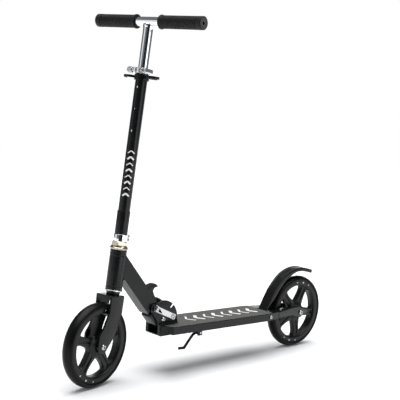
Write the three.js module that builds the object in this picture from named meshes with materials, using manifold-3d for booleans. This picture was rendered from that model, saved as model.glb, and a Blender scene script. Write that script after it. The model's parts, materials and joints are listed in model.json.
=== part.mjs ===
// Folding kick scooter with 200 mm wheels: deck, foot brake, side stand, folding neck, front fork
// and a height-adjustable T-bar.
// Millimetres. +X is forward, +Y is the rider's left, +Z is up. While the parts are placed, the
// ground is z = 0 and the rear axle is at x = 0; the last lines move the origin to the middle of
// the footprint.
import * as THREE from "three";
import { mergeVertices } from "three/addons/utils/BufferGeometryUtils.js";
import Module from "manifold-3d";

const wasm = await Module();
wasm.setup();

// ---------------------------------------------------------------- driving dimensions
const GAP = 0.3; // between pieces that touch
const BOLT_CLEARANCE = 0.3;
const FINE = 24; // sides of a large round
const COARSE = 14; // sides of a small round
const WHEEL_SIDES = 44;

// Wheels
const WHEEL_RADIUS = 100;
const TYRE_HALF_WIDTH = 15;
const TYRE_INNER_RADIUS = 88;
const TYRE_CROWN = 10;
const RIM_WINDOW_OUTER = 72.5;
const RIM_WINDOW_INNER = 25.5;
const RIM_HALF_WIDTH = 13;
const SPOKE_HALF_WIDTH = 8;
const SPOKES = 5;
const HUB_RADIUS = 22;
const BEARING_RADIUS = 11;
const BEARING_WIDTH = 7;
const AXLE_RADIUS = 4;
const REAR_WINDOW_ANGLE = 9; // degrees from forward to the middle of the first window
const FRONT_WINDOW_ANGLE = 50;

// Deck, a channel that rises slightly to the front
const DECK_HALF_WIDTH = 53;
const DECK_DEPTH = 18.5;
const DECK_PLATE = 3;
const DECK_RAIL = 5;
const DECK_SLOPE = 0.019; // radians
const DECK_REF = [350, 122.1]; // x and z of a point on the deck's top line
const DECK_REAR = 112;
const DECK_TAPER_START = 160;
const DECK_TAPER = 0.1698; // sideways run of the tapering rear edge for each mm forward
const DECK_FRONT = 515;
const BRACKET_REAR = 470;
const BRACKET_FRONT = 520;
const BRACKET_HALF_WIDTH = 26.3;
const SLOT_HALF_WIDTH = 18.3;
const SLOT_FRONT = 137;
const TAPE_THICKNESS = 1;
const TAPE_INSET = 2;
const ARM_INNER = 17.5;
const ARM_END = 37;
const REAR_AXLE_FACE = 27.3; // from the middle to the rear arms' outer faces at the axle

// Foot brake
const FENDER_PIVOT = [150.6, 109.5];
const FENDER_HALF_WIDTH = 16;
const FENDER_SHEET = 4;
const FENDER_SKIRT = 11;
const FENDER_BOLT_RADIUS = 3;

// Folding joint
const FOLD_PIVOT = [507, 141];
const PLATE_INNER = 17.9;
const PLATE_OUTER = 22.4;
const PLATE_RADIUS = 46;
const LOCK_RADIUS = 41; // from the fold pivot to the lock skewer
const LOCK_ANGLE = 46.5; // degrees
const NOTCH_ANGLE = 134;
const NOTCH_DEPTH_RADIUS = 35;
const NOTCH_WIDTH = 6.5;
const LEVER_TILT = 24.5; // degrees that the fold lever slopes down to the rear
const LEVER_LENGTH = 65;
const LEVER_HALF_WIDTH = 7.2;
const LEVER_Y = 29.4;

// Neck, a rectangular tube that slopes up to the head tube
const NECK_SLOPE = 49.6; // degrees
const NECK_HALF_WIDTH = 17.5;
const NECK_ABOVE = 15.4; // from the line through the fold pivot to the upper face
const NECK_BELOW = 22.7;
const NECK_WALL = 3;
const NECK_LOWER_LENGTH = 176;
const NECK_UPPER_LENGTH = 212;
const HOOK_SLOPE = 46.84; // degrees, of the line that the hook's outline is measured along
const HOOK_PIN = [83, -24.5];

// Steering axis
const STEER_ORIGIN = [638.27, 300];
const STEER_TILT = 5.855; // degrees back from the vertical
const STEER_TURN = 11.43; // degrees to the left, as the front wheel stands at rest
const AXLE_RAKE = 38.07;
const AXLE_DROP = -204.95;
const HEAD_RADIUS = 19.7;
const HEAD_TOP = 18.3;
const HEAD_BOTTOM = -75.3;
const DUST_CAP_TOP = 28;
const STEERER_RADIUS = 12;
const CROWN_TOP = -88;
const CROWN_THICKNESS = 9;
const FORK_OUTER = 24.5;
const FORK_INNER = 19.5;
const TUBE_RADIUS = 14;
const TUBE_BORE = 12.3;
const TUBE_BOTTOM = 38;
const TUBE_TOP = 441;
const HEIGHT_HOLES = [397, 346.1, 295.2];
const CLAMP_HEIGHT = 434.6;
const CLAMP_BOLT_U = 19.5;
const CLAMP_PIN_W = 16.5;
const HOLDER_HEIGHT = 421;
const CLIP_CENTRE = 33;
const CLIP_BORE = 13.5;
const CLIP_WALL = 3.5;
const CLIP_HALF_HEIGHT = 3;
const CLIP_OPENING = 140; // degrees from forward to the middle of the clip's mouth
const CLIP_MOUTH = 42; // degrees from there to each side

// T-bar
const STEM_RADIUS = 12;
const STEM_BOTTOM = 230;
const BAR_HEIGHT = 549.6;
const BAR_RADIUS = 11.2;
const BAR_HALF_LENGTH = 150;
const GRIP_START = 36;
const GRIP_END = 156;
const GRIP_RADIUS = 15.3;

// Side stand
const STAND_PIVOT = [395, 30, 96];
const STAND_RADIUS = 3.5;

// ---------------------------------------------------------------- materials
function finish(color, roughness, metalness) {
  return new THREE.MeshStandardMaterial({ color, roughness, metalness });
}
const BLACK_PAINT = finish(0x18191b, 0.45, 0.3);
const BLACK_PLASTIC = finish(0x101011, 0.6, 0);
const RUBBER = finish(0x151516, 0.8, 0);
const TAPE = finish(0x55544f, 0.95, 0);
const CHROME = finish(0xe4e6e8, 0.08, 1);
const STEEL = finish(0xb9bcbf, 0.3, 1);
const BRASSY = finish(0xcfc6b0, 0.2, 1);

// ---------------------------------------------------------------- solids
const degrees = THREE.MathUtils.degToRad;

// A closed geometry as a solid that can be cut and joined.
function toSolid(geometry) {
  const bare = geometry.clone();
  bare.deleteAttribute("normal");
  bare.deleteAttribute("uv");
  const merged = mergeVertices(bare, 1e-4);
  return new wasm.Manifold(
    new wasm.Mesh({
      numProp: 3,
      vertProperties: merged.attributes.position.array,
      triVerts: new Uint32Array(merged.index.array),
    }),
  );
}

function toGeometry(solid) {
  const { vertProperties, triVerts } = solid.getMesh();
  const geometry = new THREE.BufferGeometry();
  geometry.setAttribute("position", new THREE.BufferAttribute(vertProperties, 3));
  geometry.setIndex(new THREE.BufferAttribute(triVerts, 1));
  geometry.computeVertexNormals();
  return geometry;
}

function cut(body, ...tools) {
  return toGeometry(tools.reduce((made, tool) => made.subtract(toSolid(tool)), toSolid(body)));
}

function join(body, ...others) {
  return toGeometry(others.reduce((made, other) => made.add(toSolid(other)), toSolid(body)));
}

function common(body, other) {
  return toGeometry(toSolid(body).intersect(toSolid(other)));
}

// A box between two opposite corners.
function box([x0, y0, z0], [x1, y1, z1]) {
  const made = new THREE.BoxGeometry(x1 - x0, y1 - y0, z1 - z0);
  return made.translate((x0 + x1) / 2, (y0 + y1) / 2, (z0 + z1) / 2);
}

// A profile of [radius, height] pairs, counter-clockwise, turned about +Y. A profile that doesn't
// start on the axis is closed into a ring.
function turned(profile, sides = FINE) {
  const points = profile.map(([radius, height]) => new THREE.Vector2(radius, height));
  if (points[0].x > 0) points.push(points[0].clone());
  return new THREE.LatheGeometry(points, sides);
}

function ring(inner, outer, low, high, sides = FINE) {
  const profile = [
    [outer, low],
    [outer, high],
    [inner, high],
    [inner, low],
  ];
  return turned(profile, sides);
}

function rod(radius, low, high, sides = COARSE) {
  const made = new THREE.CylinderGeometry(radius, radius, high - low, sides);
  return made.translate(0, (low + high) / 2, 0);
}

// A hexagon with a round bore.
function hexNut(bore, radius, low, high) {
  return cut(rod(radius, low, high, 6), rod(bore, low - 1, high + 1, FINE));
}

// Stands a piece that was made about +Y upright, about +Z.
function upright(geometry) {
  return geometry.rotateX(Math.PI / 2);
}

// An outline in a side view, [x, z], made solid between two widths y.
function side(outline, low, high, holes = []) {
  const shape = Array.isArray(outline) ? shapeOf(outline) : outline;
  shape.holes.push(...holes);
  const settings = { depth: high - low, bevelEnabled: false, curveSegments: 4 };
  const made = new THREE.ExtrudeGeometry(shape, settings);
  return made.rotateX(Math.PI / 2).translate(0, high, 0);
}

// An outline in a top view, [x, y], made solid between two heights z.
function plan(outline, low, high) {
  const settings = { depth: high - low, bevelEnabled: false };
  return new THREE.ExtrudeGeometry(shapeOf(outline), settings).translate(0, 0, low);
}

function shapeOf(points) {
  return new THREE.Shape(points.map(([a, b]) => new THREE.Vector2(a, b)));
}

// A round section or disc, as a polygon.
function circle(radius, sides) {
  return shapeOf(arc([0, 0], radius, 0, 360 - 360 / sides, sides - 1));
}

function mirrored(points) {
  return [...points, ...points.map(([x, y]) => [x, -y]).reverse()];
}

function polar([x, z], radius, angle) {
  return [x + radius * Math.cos(degrees(angle)), z + radius * Math.sin(degrees(angle))];
}

// Points of an arc from one angle to another, both in degrees.
function arc(centre, radius, from, to, steps = 10) {
  const angle = (i) => from + ((to - from) * i) / steps;
  return Array.from({ length: steps + 1 }, (_, i) => polar(centre, radius, angle(i)));
}

function mesh(name, geometry, material) {
  const made = new THREE.Mesh(geometry, material);
  made.name = name;
  return made;
}

function groupAt(name, x, y, z) {
  const made = new THREE.Group();
  made.name = name;
  made.position.set(x, y, z);
  return made;
}

// ---------------------------------------------------------------- wheels
function tyre() {
  const shoulder = WHEEL_RADIUS - TYRE_CROWN;
  const crown = [];
  for (let i = 0; i <= 6; i += 1) {
    const angle = degrees(-90 + (180 * i) / 6);
    const radius = shoulder + TYRE_CROWN * Math.cos(angle);
    crown.push([radius, TYRE_HALF_WIDTH * Math.sin(angle)]);
  }
  const bead = [
    [TYRE_INNER_RADIUS, RIM_HALF_WIDTH],
    [TYRE_INNER_RADIUS, -RIM_HALF_WIDTH],
  ];
  return turned([...crown, ...bead], WHEEL_SIDES);
}

// One opening between two spokes: narrow at the hub, following the rim at its outer side.
function rimWindow(middle) {
  const at = (radius, spread) => polar([0, 0], radius, middle + spread);
  const window = new THREE.Path();
  window.moveTo(...at(RIM_WINDOW_INNER, 0));
  window.quadraticCurveTo(...at(37, 25), ...at(61, 26));
  window.lineTo(...at(RIM_WINDOW_OUTER - 3, 24));
  for (const [x, z] of arc([0, 0], RIM_WINDOW_OUTER, middle + 20, middle - 20, 4)) {
    window.lineTo(x, z);
  }
  window.lineTo(...at(RIM_WINDOW_OUTER - 3, -24));
  window.lineTo(...at(61, -26));
  window.quadraticCurveTo(...at(37, -25), ...at(RIM_WINDOW_INNER, 0));
  return window;
}

function rim(firstWindow) {
  const disc = circle(RIM_WINDOW_OUTER + 2, WHEEL_SIDES);
  const windows = [];
  for (let i = 0; i < SPOKES; i += 1) {
    windows.push(rimWindow(firstWindow + (360 * i) / SPOKES));
  }
  const spokes = side(disc, -SPOKE_HALF_WIDTH, SPOKE_HALF_WIDTH, windows);
  const outer = TYRE_INNER_RADIUS - GAP;
  const band = ring(RIM_WINDOW_OUTER + 1, outer, -RIM_HALF_WIDTH, RIM_HALF_WIDTH, WHEEL_SIDES);
  const hub = rod(HUB_RADIUS, -TYRE_HALF_WIDTH, TYRE_HALF_WIDTH, FINE);
  const seat = TYRE_HALF_WIDTH - BEARING_WIDTH - GAP / 2;
  return cut(
    join(spokes, band, hub),
    rod(BEARING_RADIUS - 3, -20, 20),
    rod(BEARING_RADIUS, seat, 20, FINE),
    rod(BEARING_RADIUS, -20, -seat, FINE),
  );
}

function wheel(end, firstWindow) {
  const group = groupAt(`${end}_wheel`, 0, 0, 0);
  const bore = AXLE_RADIUS + BOLT_CLEARANCE;
  const inner = TYRE_HALF_WIDTH - BEARING_WIDTH;
  const race = BEARING_RADIUS - GAP;
  group.add(
    mesh(`${end}_tyre`, tyre(), RUBBER),
    mesh(`${end}_rim`, rim(firstWindow), BLACK_PLASTIC),
    mesh(`${end}_bearing_left`, ring(bore, race, inner, TYRE_HALF_WIDTH, COARSE), STEEL),
    mesh(`${end}_bearing_right`, ring(bore, race, -TYRE_HALF_WIDTH, -inner, COARSE), STEEL),
    mesh(`${end}_bearing_sleeve`, ring(bore, 6, GAP - inner, inner - GAP, COARSE), STEEL),
  );
  return group;
}

// The bolt's head stands on the left face, and the nut on the right one.
function axleBolt(face) {
  return join(rod(AXLE_RADIUS, -face - 5, face + 2), rod(7, face, face + 4, 24));
}

function axleNut(face) {
  return hexNut(AXLE_RADIUS + BOLT_CLEARANCE, 7, -face - 6, -face);
}

// ---------------------------------------------------------------- deck
function deckEdge(x) {
  return DECK_HALF_WIDTH - Math.max(0, DECK_TAPER_START - x) * DECK_TAPER;
}

// The deck's own frame has its top at z = 0 and its x measured from DECK_REF.
function deckBody() {
  const outline = mirrored([
    [DECK_REAR, deckEdge(DECK_REAR)],
    [DECK_TAPER_START, DECK_HALF_WIDTH],
    [497, DECK_HALF_WIDTH],
    [504, 38.6],
    [DECK_FRONT, BRACKET_HALF_WIDTH],
  ]);
  const pocket = mirrored([
    [DECK_REAR - 5, deckEdge(DECK_REAR) - DECK_RAIL],
    [DECK_REAR, deckEdge(DECK_REAR) - DECK_RAIL],
    [DECK_TAPER_START, DECK_HALF_WIDTH - DECK_RAIL],
    [BRACKET_REAR - 5, DECK_HALF_WIDTH - DECK_RAIL],
  ]);
  const ribs = [1, -1].map((hand) =>
    box([170, hand * 14 - 1.5, -DECK_DEPTH], [BRACKET_REAR - 4, hand * 14 + 1.5, -DECK_PLATE / 2]),
  );
  const notch = BRACKET_HALF_WIDTH + GAP;
  const [boltX, boltZ] = FENDER_PIVOT;
  const bolt = rod(FENDER_BOLT_RADIUS + BOLT_CLEARANCE, -60, 60).translate(
    boltX,
    0,
    boltZ - DECK_REF[1] - (boltX - DECK_REF[0]) * DECK_SLOPE,
  );
  const shell = cut(
    plan(outline, -DECK_DEPTH, 0),
    plan(pocket, -DECK_DEPTH - 1, -DECK_PLATE),
    box([DECK_REAR - 1, -SLOT_HALF_WIDTH, -DECK_DEPTH], [SLOT_FRONT, SLOT_HALF_WIDTH, 1]),
    box([BRACKET_REAR - 2 * GAP, -notch, -DECK_DEPTH - 1], [DECK_FRONT + 1, notch, 1]),
    bolt,
  );
  return join(shell, ...ribs).translate(-DECK_REF[0], 0, 0);
}

// The tape runs forward on both sides of the hinge.
function gripTape() {
  const rear = SLOT_FRONT + 4;
  const outline = mirrored([
    [rear, deckEdge(rear) - TAPE_INSET],
    [DECK_TAPER_START + 2, DECK_HALF_WIDTH - TAPE_INSET],
    [495.5, DECK_HALF_WIDTH - TAPE_INSET],
    [502, 39],
    [508, 27],
    [466, 27],
    [455, 22],
  ]);
  return plan(outline, GAP, GAP + TAPE_THICKNESS).translate(-DECK_REF[0], 0, 0);
}

// One rear arm, seen from the side and from above: a tongue under the deck plate, then the arm
// that carries the wheel, ending in a rounded nose behind the axle.
function rearArm() {
  const rear = DECK_REAR - GAP;
  const profile = [
    [157, 101],
    [157, 113.9],
    [rear, 113.9],
    [rear, 117.5],
    [70, 119.3],
    [28, 119.6],
    [10, 117.6],
    [-4, 114],
    [-20, 108.5],
    [-34, 102.5],
    [-37.5, 98],
    [-33, 93.5],
    ...arc([0, WHEEL_RADIUS], 15, 235, 305, 4),
    [40, 97],
    [rear, 100.3],
  ];
  const above = [
    [-40, ARM_INNER],
    [158, ARM_INNER],
    [158, ARM_END],
    [DECK_REAR, ARM_END],
    [rear, deckEdge(rear)],
    [-40, deckEdge(-40)],
  ];
  const body = common(side(profile, ARM_INNER - 1, 60), plan(above, 60, 140));
  const axle = rod(AXLE_RADIUS + BOLT_CLEARANCE, 0, 60).translate(0, 0, WHEEL_RADIUS);
  const [boltX, boltZ] = FENDER_PIVOT;
  const bolt = rod(FENDER_BOLT_RADIUS + BOLT_CLEARANCE, 0, 60).translate(boltX, 0, boltZ);
  return cut(body, axle, bolt);
}

// The hinge plate is round about the fold pivot, with an open notch at the rear of its rim, a boss
// round the lock skewer and a foot that stands in the front bracket.
function hingePlate() {
  const lock = polar(FOLD_PIVOT, LOCK_RADIUS, LOCK_ANGLE);
  const outline = [
    [458, 124.9],
    [461, FOLD_PIVOT[1]],
    ...arc(FOLD_PIVOT, PLATE_RADIUS, 180, 64, 18),
    ...arc(lock, 11, 100, -32, 8),
    [525, 137],
    [519, 125],
    [519, 103.6],
    [BRACKET_REAR, 103.6],
    [BRACKET_REAR, 124.9],
  ];
  const notch = box(
    [NOTCH_DEPTH_RADIUS, 0, -NOTCH_WIDTH / 2],
    [PLATE_RADIUS + 5, 40, NOTCH_WIDTH / 2],
  );
  notch.rotateY(-degrees(NOTCH_ANGLE)).translate(FOLD_PIVOT[0], 0, FOLD_PIVOT[1]);
  const hole = () => rod(AXLE_RADIUS + BOLT_CLEARANCE, 0, 60);
  return cut(
    side(outline, PLATE_INNER, PLATE_OUTER),
    notch,
    hole().translate(FOLD_PIVOT[0], 0, FOLD_PIVOT[1]),
    hole().translate(lock[0], 0, lock[1]),
  );
}

// An open channel that closes the deck's front and holds the hinge plates.
function frontBracket() {
  const outline = [
    [BRACKET_REAR, 99.5],
    [BRACKET_FRONT - 4, 99.5],
    [BRACKET_FRONT, 103],
    [BRACKET_FRONT, 128],
    [BRACKET_FRONT - 5, 132],
    [BRACKET_REAR, 132],
  ];
  const wall = PLATE_OUTER + GAP;
  return cut(
    side(outline, -BRACKET_HALF_WIDTH, BRACKET_HALF_WIDTH),
    box([BRACKET_REAR - 1, -wall, 103.3], [BRACKET_FRONT + 1, wall, 140]),
  );
}

// ---------------------------------------------------------------- folding joint
function pivotBolt() {
  const face = PLATE_OUTER + GAP;
  return join(rod(AXLE_RADIUS, -face - 5, face + 2), rod(6, face, face + 4, 24));
}

function pivotNut() {
  const face = PLATE_OUTER + GAP;
  return hexNut(AXLE_RADIUS + BOLT_CLEARANCE, 6.5, -face - 5, -face);
}

// The skewer ends in an eye for the lever's pin, which stands across the lever, about +Z here.
function lockSkewer() {
  const eye = upright(rod(4.6, -3, 3)).translate(0, LEVER_Y, 0);
  const pinHole = upright(rod(2 + BOLT_CLEARANCE, -10, 10)).translate(0, LEVER_Y, 0);
  const shank = join(rod(AXLE_RADIUS, -PLATE_OUTER - 6, PLATE_OUTER + 0.8), rod(2.9, 0, LEVER_Y - 2));
  return cut(join(shank, eye), pinHole);
}

function leverPin() {
  return upright(rod(2, -LEVER_HALF_WIDTH - 0.5, LEVER_HALF_WIDTH + 0.5)).translate(0, LEVER_Y, 0);
}

// The lever lies along -X from its pin: two cam cheeks, an open triangle and a flat blade.
function foldLever() {
  const low = LEVER_Y - 2.5;
  const high = LEVER_Y + 2.5;
  const blade = box([-LEVER_LENGTH, low, -LEVER_HALF_WIDTH], [-3, high, LEVER_HALF_WIDTH]);
  const cams = upright(rod(5.7, -LEVER_HALF_WIDTH, LEVER_HALF_WIDTH)).translate(0, LEVER_Y, 0);
  const mouth = box([-6, 10, -3.4], [20, 50, 3.4]);
  const opening = side(
    [
      [-5, -3.4],
      [-18, -3.4],
      [-5, 3.4],
    ],
    10,
    50,
  );
  const pinHole = upright(rod(2 + BOLT_CLEARANCE, -20, 20)).translate(0, LEVER_Y, 0);
  return cut(join(blade, cams), mouth, opening, pinHole);
}

// Along the neck s, and across it n, which is positive towards its lower face, as [x, z].
function neckPoint([s, n]) {
  const along = polar(FOLD_PIVOT, s, NECK_SLOPE);
  return polar(along, n, NECK_SLOPE - 90);
}

function hookPoint([s, n]) {
  const along = polar(FOLD_PIVOT, s, HOOK_SLOPE);
  return polar(along, n, HOOK_SLOPE - 90);
}

function steeringRod(radius, low, high) {
  const made = upright(rod(radius, low, high, FINE));
  return made.rotateY(-degrees(STEER_TILT)).translate(STEER_ORIGIN[0], 0, STEER_ORIGIN[1]);
}

// A box tube with a rounded knuckle about the fold pivot. The open arc in its lower face lets it
// swing off the lock skewer.
function neckTube() {
  const knuckle = rod(15.3, -NECK_HALF_WIDTH, NECK_HALF_WIDTH, FINE);
  knuckle.translate(FOLD_PIVOT[0], 0, FOLD_PIVOT[1]);
  const outer = [
    [0, NECK_BELOW],
    [NECK_LOWER_LENGTH, NECK_BELOW],
    [NECK_UPPER_LENGTH, -NECK_ABOVE],
    [0, -NECK_ABOVE],
  ].map(neckPoint);
  const hollow = [
    [24, NECK_BELOW - NECK_WALL],
    [NECK_UPPER_LENGTH + 5, NECK_BELOW - NECK_WALL],
    [NECK_UPPER_LENGTH + 5, NECK_WALL - NECK_ABOVE],
    [24, NECK_WALL - NECK_ABOVE],
  ].map(neckPoint);
  const slack = AXLE_RADIUS + 0.5;
  const lock = polar(FOLD_PIVOT, LOCK_RADIUS, LOCK_ANGLE);
  const guide = [
    ...arc(FOLD_PIVOT, LOCK_RADIUS + slack, 0, LOCK_ANGLE, 12),
    ...arc(lock, slack, LOCK_ANGLE + 30, LOCK_ANGLE + 150, 4),
    ...arc(FOLD_PIVOT, LOCK_RADIUS - slack, LOCK_ANGLE, 0, 12),
  ];
  const inner = NECK_HALF_WIDTH - NECK_WALL;
  const lug = (low, high) =>
    side(
      [
        [76, -NECK_ABOVE + 1],
        [92, -NECK_ABOVE + 1],
        [89, -NECK_ABOVE - 9.6],
        [79, -NECK_ABOVE - 9.6],
      ].map(neckPoint),
      low,
      high,
    );
  const pin = hookPoint(HOOK_PIN);
  return cut(
    join(side(outer, -NECK_HALF_WIDTH, NECK_HALF_WIDTH), knuckle, lug(7.5, 10.5), lug(-10.5, -7.5)),
    side(hollow, -inner, inner),
    side(guide, -20, 20),
    steeringRod(HEAD_RADIUS + GAP, -200, 200),
    rod(AXLE_RADIUS + BOLT_CLEARANCE, -20, 20).translate(FOLD_PIVOT[0], 0, FOLD_PIVOT[1]),
    rod(2 + BOLT_CLEARANCE, -20, 20).translate(pin[0], 0, pin[1]),
  );
}

function releaseHook() {
  const outline = [
    [90, -24],
    [88, -27],
    [82.5, -37.5],
    [78.5, -43.5],
    [71.5, -47.5],
    [61, -48.4],
    [65.5, -43],
    [67.3, -38],
    [66.3, -32],
    [60.5, -28.5],
    [50, -26],
    [42, -29],
    [34, -32],
    [28, -32.7],
    [24, -29],
    [24, -17.4],
    [84, -20.3],
  ].map(hookPoint);
  const pin = hookPoint(HOOK_PIN);
  const hole = rod(2 + BOLT_CLEARANCE, -20, 20).translate(pin[0], 0, pin[1]);
  return cut(side(outline, -6.5, 6.5), hole);
}

function hookPin() {
  const [x, z] = hookPoint(HOOK_PIN);
  return rod(2, -12, 12).translate(x, 0, z);
}

// ---------------------------------------------------------------- foot brake
// The middle of the fender's sheet, from its foot to its tail, as [x, z].
const fenderLine = new THREE.CatmullRomCurve3(
  [
    [143, 109],
    [133, 111],
    [126, 121],
    [103.5, 160],
    [84, 184],
    [60, 205.5],
    [35, 217],
    [10, 222],
    [-16, 221.3],
    [-52, 212.5],
  ].map(([x, z]) => new THREE.Vector3(x, 0, z)),
);

// A strip along the fender's line, between its offsets away from and towards the wheel.
function fenderBand(start, end, above, below, steps) {
  const outer = [];
  const inner = [];
  for (let i = 0; i <= steps; i += 1) {
    const t = start + ((end - start) * i) / steps;
    const point = fenderLine.getPointAt(t);
    const tangent = fenderLine.getTangentAt(t);
    outer.push([point.x - -tangent.z * above, point.z - tangent.x * above]);
    inner.unshift([point.x + -tangent.z * below, point.z + tangent.x * below]);
  }
  return [...outer, ...inner];
}

function fender() {
  const half = FENDER_SHEET / 2;
  const [x, z] = FENDER_PIVOT;
  const sheet = fenderBand(0, 1, half, half, 20);
  const skirt = fenderBand(0.15, 0.65, half, FENDER_SKIRT, 10);
  const lip = fenderBand(0.82, 1, half, half + 5, 4);
  const knuckle = rod(5.2, -9, 9).translate(x, 0, z);
  const root = box([x - 10, -9, z - 2], [x - 3, 9, z + 2]);
  const wide = FENDER_HALF_WIDTH;
  const hole = rod(FENDER_BOLT_RADIUS + BOLT_CLEARANCE, -20, 20).translate(x, 0, z);
  return cut(
    join(
      side(sheet, -wide, wide),
      side(skirt, wide - 2.5, wide),
      side(skirt, -wide, 2.5 - wide),
      side(lip, -wide, wide),
      knuckle,
      root,
    ),
    hole,
  );
}

function fenderBolt() {
  const face = DECK_HALF_WIDTH - 0.2;
  const shank = rod(FENDER_BOLT_RADIUS, -face - 1, face + 1);
  return join(shank, rod(5, face, face + 3)).translate(FENDER_PIVOT[0], 0, FENDER_PIVOT[1]);
}

function fenderNut() {
  const face = DECK_HALF_WIDTH - 0.2;
  const bore = FENDER_BOLT_RADIUS + BOLT_CLEARANCE;
  return hexNut(bore, 5.5, -face - 4, -face).translate(FENDER_PIVOT[0], 0, FENDER_PIVOT[1]);
}

class Helix extends THREE.Curve {
  constructor(radius, pitch, turns) {
    super();
    this.radius = radius;
    this.pitch = pitch;
    this.turns = turns;
  }

  getPoint(t, target = new THREE.Vector3()) {
    const angle = 2 * Math.PI * this.turns * t;
    const y = this.pitch * this.turns * t;
    return target.set(this.radius * Math.cos(angle), y, this.radius * Math.sin(angle));
  }
}

function fenderSpring() {
  const coil = new Helix(4.3, 1.75, 3);
  const settings = { steps: 30, bevelEnabled: false, extrudePath: coil };
  const made = new THREE.ExtrudeGeometry(circle(0.7, 5), settings);
  return made.translate(FENDER_PIVOT[0], 10.4, FENDER_PIVOT[1]);
}

// ---------------------------------------------------------------- side stand
function standBracket() {
  const [x, y, z] = STAND_PIVOT;
  const cheek = (low, high) => box([x - 7, low, z - 7], [x + 7, high, z + 21]);
  const base = box([x - 12, y - 9, z + 20], [x + 12, y + 9, z + 23.3]);
  const hole = rod(3 + BOLT_CLEARANCE, -60, 60).translate(x, 0, z);
  return cut(join(base, cheek(y - 9, y - 6), cheek(y + 6, y + 9)), hole);
}

function standLeg() {
  const [x, y, z] = STAND_PIVOT;
  const line = new THREE.CatmullRomCurve3(
    [
      [x, y, z],
      [x + 12, y + 0.5, z - 2],
      [x + 28, y + 8, z - 5],
      [x + 85, y + 46, z - 15],
      [x + 91, y + 49, z - 15.5],
      [x + 107, y + 50, z - 14.5],
    ].map((point) => new THREE.Vector3(...point)),
  );
  const settings = { steps: 20, bevelEnabled: false, extrudePath: line };
  const leg = new THREE.ExtrudeGeometry(circle(STAND_RADIUS, 8), settings);
  const eye = rod(6.5, -5.6, 5.6).translate(x, y, z);
  const hole = rod(3 + BOLT_CLEARANCE, -60, 60).translate(x, y, z);
  return cut(join(leg, eye), hole);
}

function standPin() {
  const [x, y, z] = STAND_PIVOT;
  return rod(3, y - 11, y + 11).translate(x, 0, z);
}

// ---------------------------------------------------------------- steering, about +Z
function steeringRing(inner, outer, low, high, sides = FINE) {
  return upright(ring(inner, outer, low, high, sides));
}

function headsetNut() {
  return upright(hexNut(TUBE_BORE, 19, DUST_CAP_TOP + GAP, TUBE_BOTTOM - GAP));
}

// A bent steel crown and two blades that lead the axle forward.
function fork() {
  const axle = [AXLE_RAKE, AXLE_DROP];
  const outline = [
    [-15, CROWN_TOP],
    [30.5, CROWN_TOP],
    [29.5, -126],
    [44.5, -165],
    [54, -178],
    ...arc(axle, 16.5, 15, -140, 9),
    [3, -184],
    [-14, -131],
  ];
  const under = CROWN_TOP - CROWN_THICKNESS;
  return cut(
    side(outline, -FORK_OUTER, FORK_OUTER),
    box([-40, -FORK_INNER, -240], [80, FORK_INNER, under]),
    rod(AXLE_RADIUS + BOLT_CLEARANCE, -40, 40).translate(AXLE_RAKE, 0, AXLE_DROP),
  );
}

function steeringTube() {
  const holes = HEIGHT_HOLES.map((height) =>
    rod(3.1, 0, 30).rotateZ(-Math.PI / 2).translate(0, 0, height),
  );
  return cut(steeringRing(TUBE_BORE, TUBE_RADIUS, TUBE_BOTTOM, TUBE_TOP), ...holes);
}

// The split ring that pinches the tube on the fork's steerer, with two bolts in its rear ear.
const PINCH_HEIGHTS = [42, 50];
const PINCH_U = -20.5;

function steererClamp() {
  const bore = TUBE_RADIUS + GAP;
  const band = steeringRing(bore, bore + 2.4, TUBE_BOTTOM, 54);
  const ear = box([-25, -6, TUBE_BOTTOM], [-14.8, 6, 54]);
  const slit = box([-30, -0.8, 0], [-10, 0.8, 60]);
  const bolts = PINCH_HEIGHTS.map((height) => rod(2.3, -20, 20).translate(PINCH_U, 0, height));
  const inside = upright(rod(bore, 0, 80, FINE));
  return cut(join(band, ear), inside, slit, ...bolts);
}

function pinchBolt(height) {
  return join(rod(2, -9, 7), rod(3.4, 6.3, 9.5)).translate(PINCH_U, 0, height);
}

function heightClamp() {
  const bore = TUBE_RADIUS + GAP;
  const low = CLAMP_HEIGHT - 6.4;
  const high = CLAMP_HEIGHT + 6.4;
  const ears = box([14.8, -8, low], [25, 8, high]);
  return cut(
    join(steeringRing(bore, bore + 3, low, high), ears),
    upright(rod(bore, 300, 600, FINE)),
    box([10, -1.5, 300], [40, 1.5, 600]),
    rod(2.8, -40, 40).translate(CLAMP_BOLT_U, 0, CLAMP_HEIGHT),
  );
}

function clampBolt() {
  const pin = upright(rod(3, -6, 6)).translate(0, CLAMP_PIN_W, 0);
  return join(rod(2.5, -24, CLAMP_PIN_W), pin).translate(CLAMP_BOLT_U, 0, CLAMP_HEIGHT);
}

function clampNut() {
  const profile = [
    [3.9, -13.5],
    [3.9, -8.3],
    [2.8, -8.3],
    [2.8, -27],
    [6.8, -27],
    [6.8, -13.5],
  ];
  return turned(profile, COARSE).translate(CLAMP_BOLT_U, 0, CLAMP_HEIGHT);
}

// The lever wraps back beside the tube from its pin at the bolt's end.
function clampLever() {
  const cams = upright(rod(5.5, -5.5, 5.5)).translate(CLAMP_BOLT_U, CLAMP_PIN_W, 0);
  const blade = plan(
    [
      [CLAMP_BOLT_U, 18.6],
      [0, 18.6],
      [-14, 16.5],
      [-16, 19.5],
      [-2, 22.4],
      [CLAMP_BOLT_U, 22],
    ],
    -5.5,
    5.5,
  );
  const mouth = box([CLAMP_BOLT_U - 9, 8, -2.8], [CLAMP_BOLT_U + 9, 19.8, 2.8]);
  const pinHole = upright(rod(3 + BOLT_CLEARANCE, -20, 20));
  pinHole.translate(CLAMP_BOLT_U, CLAMP_PIN_W, 0);
  return cut(join(cams, blade), mouth, pinHole).translate(0, 0, CLAMP_HEIGHT);
}

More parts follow.
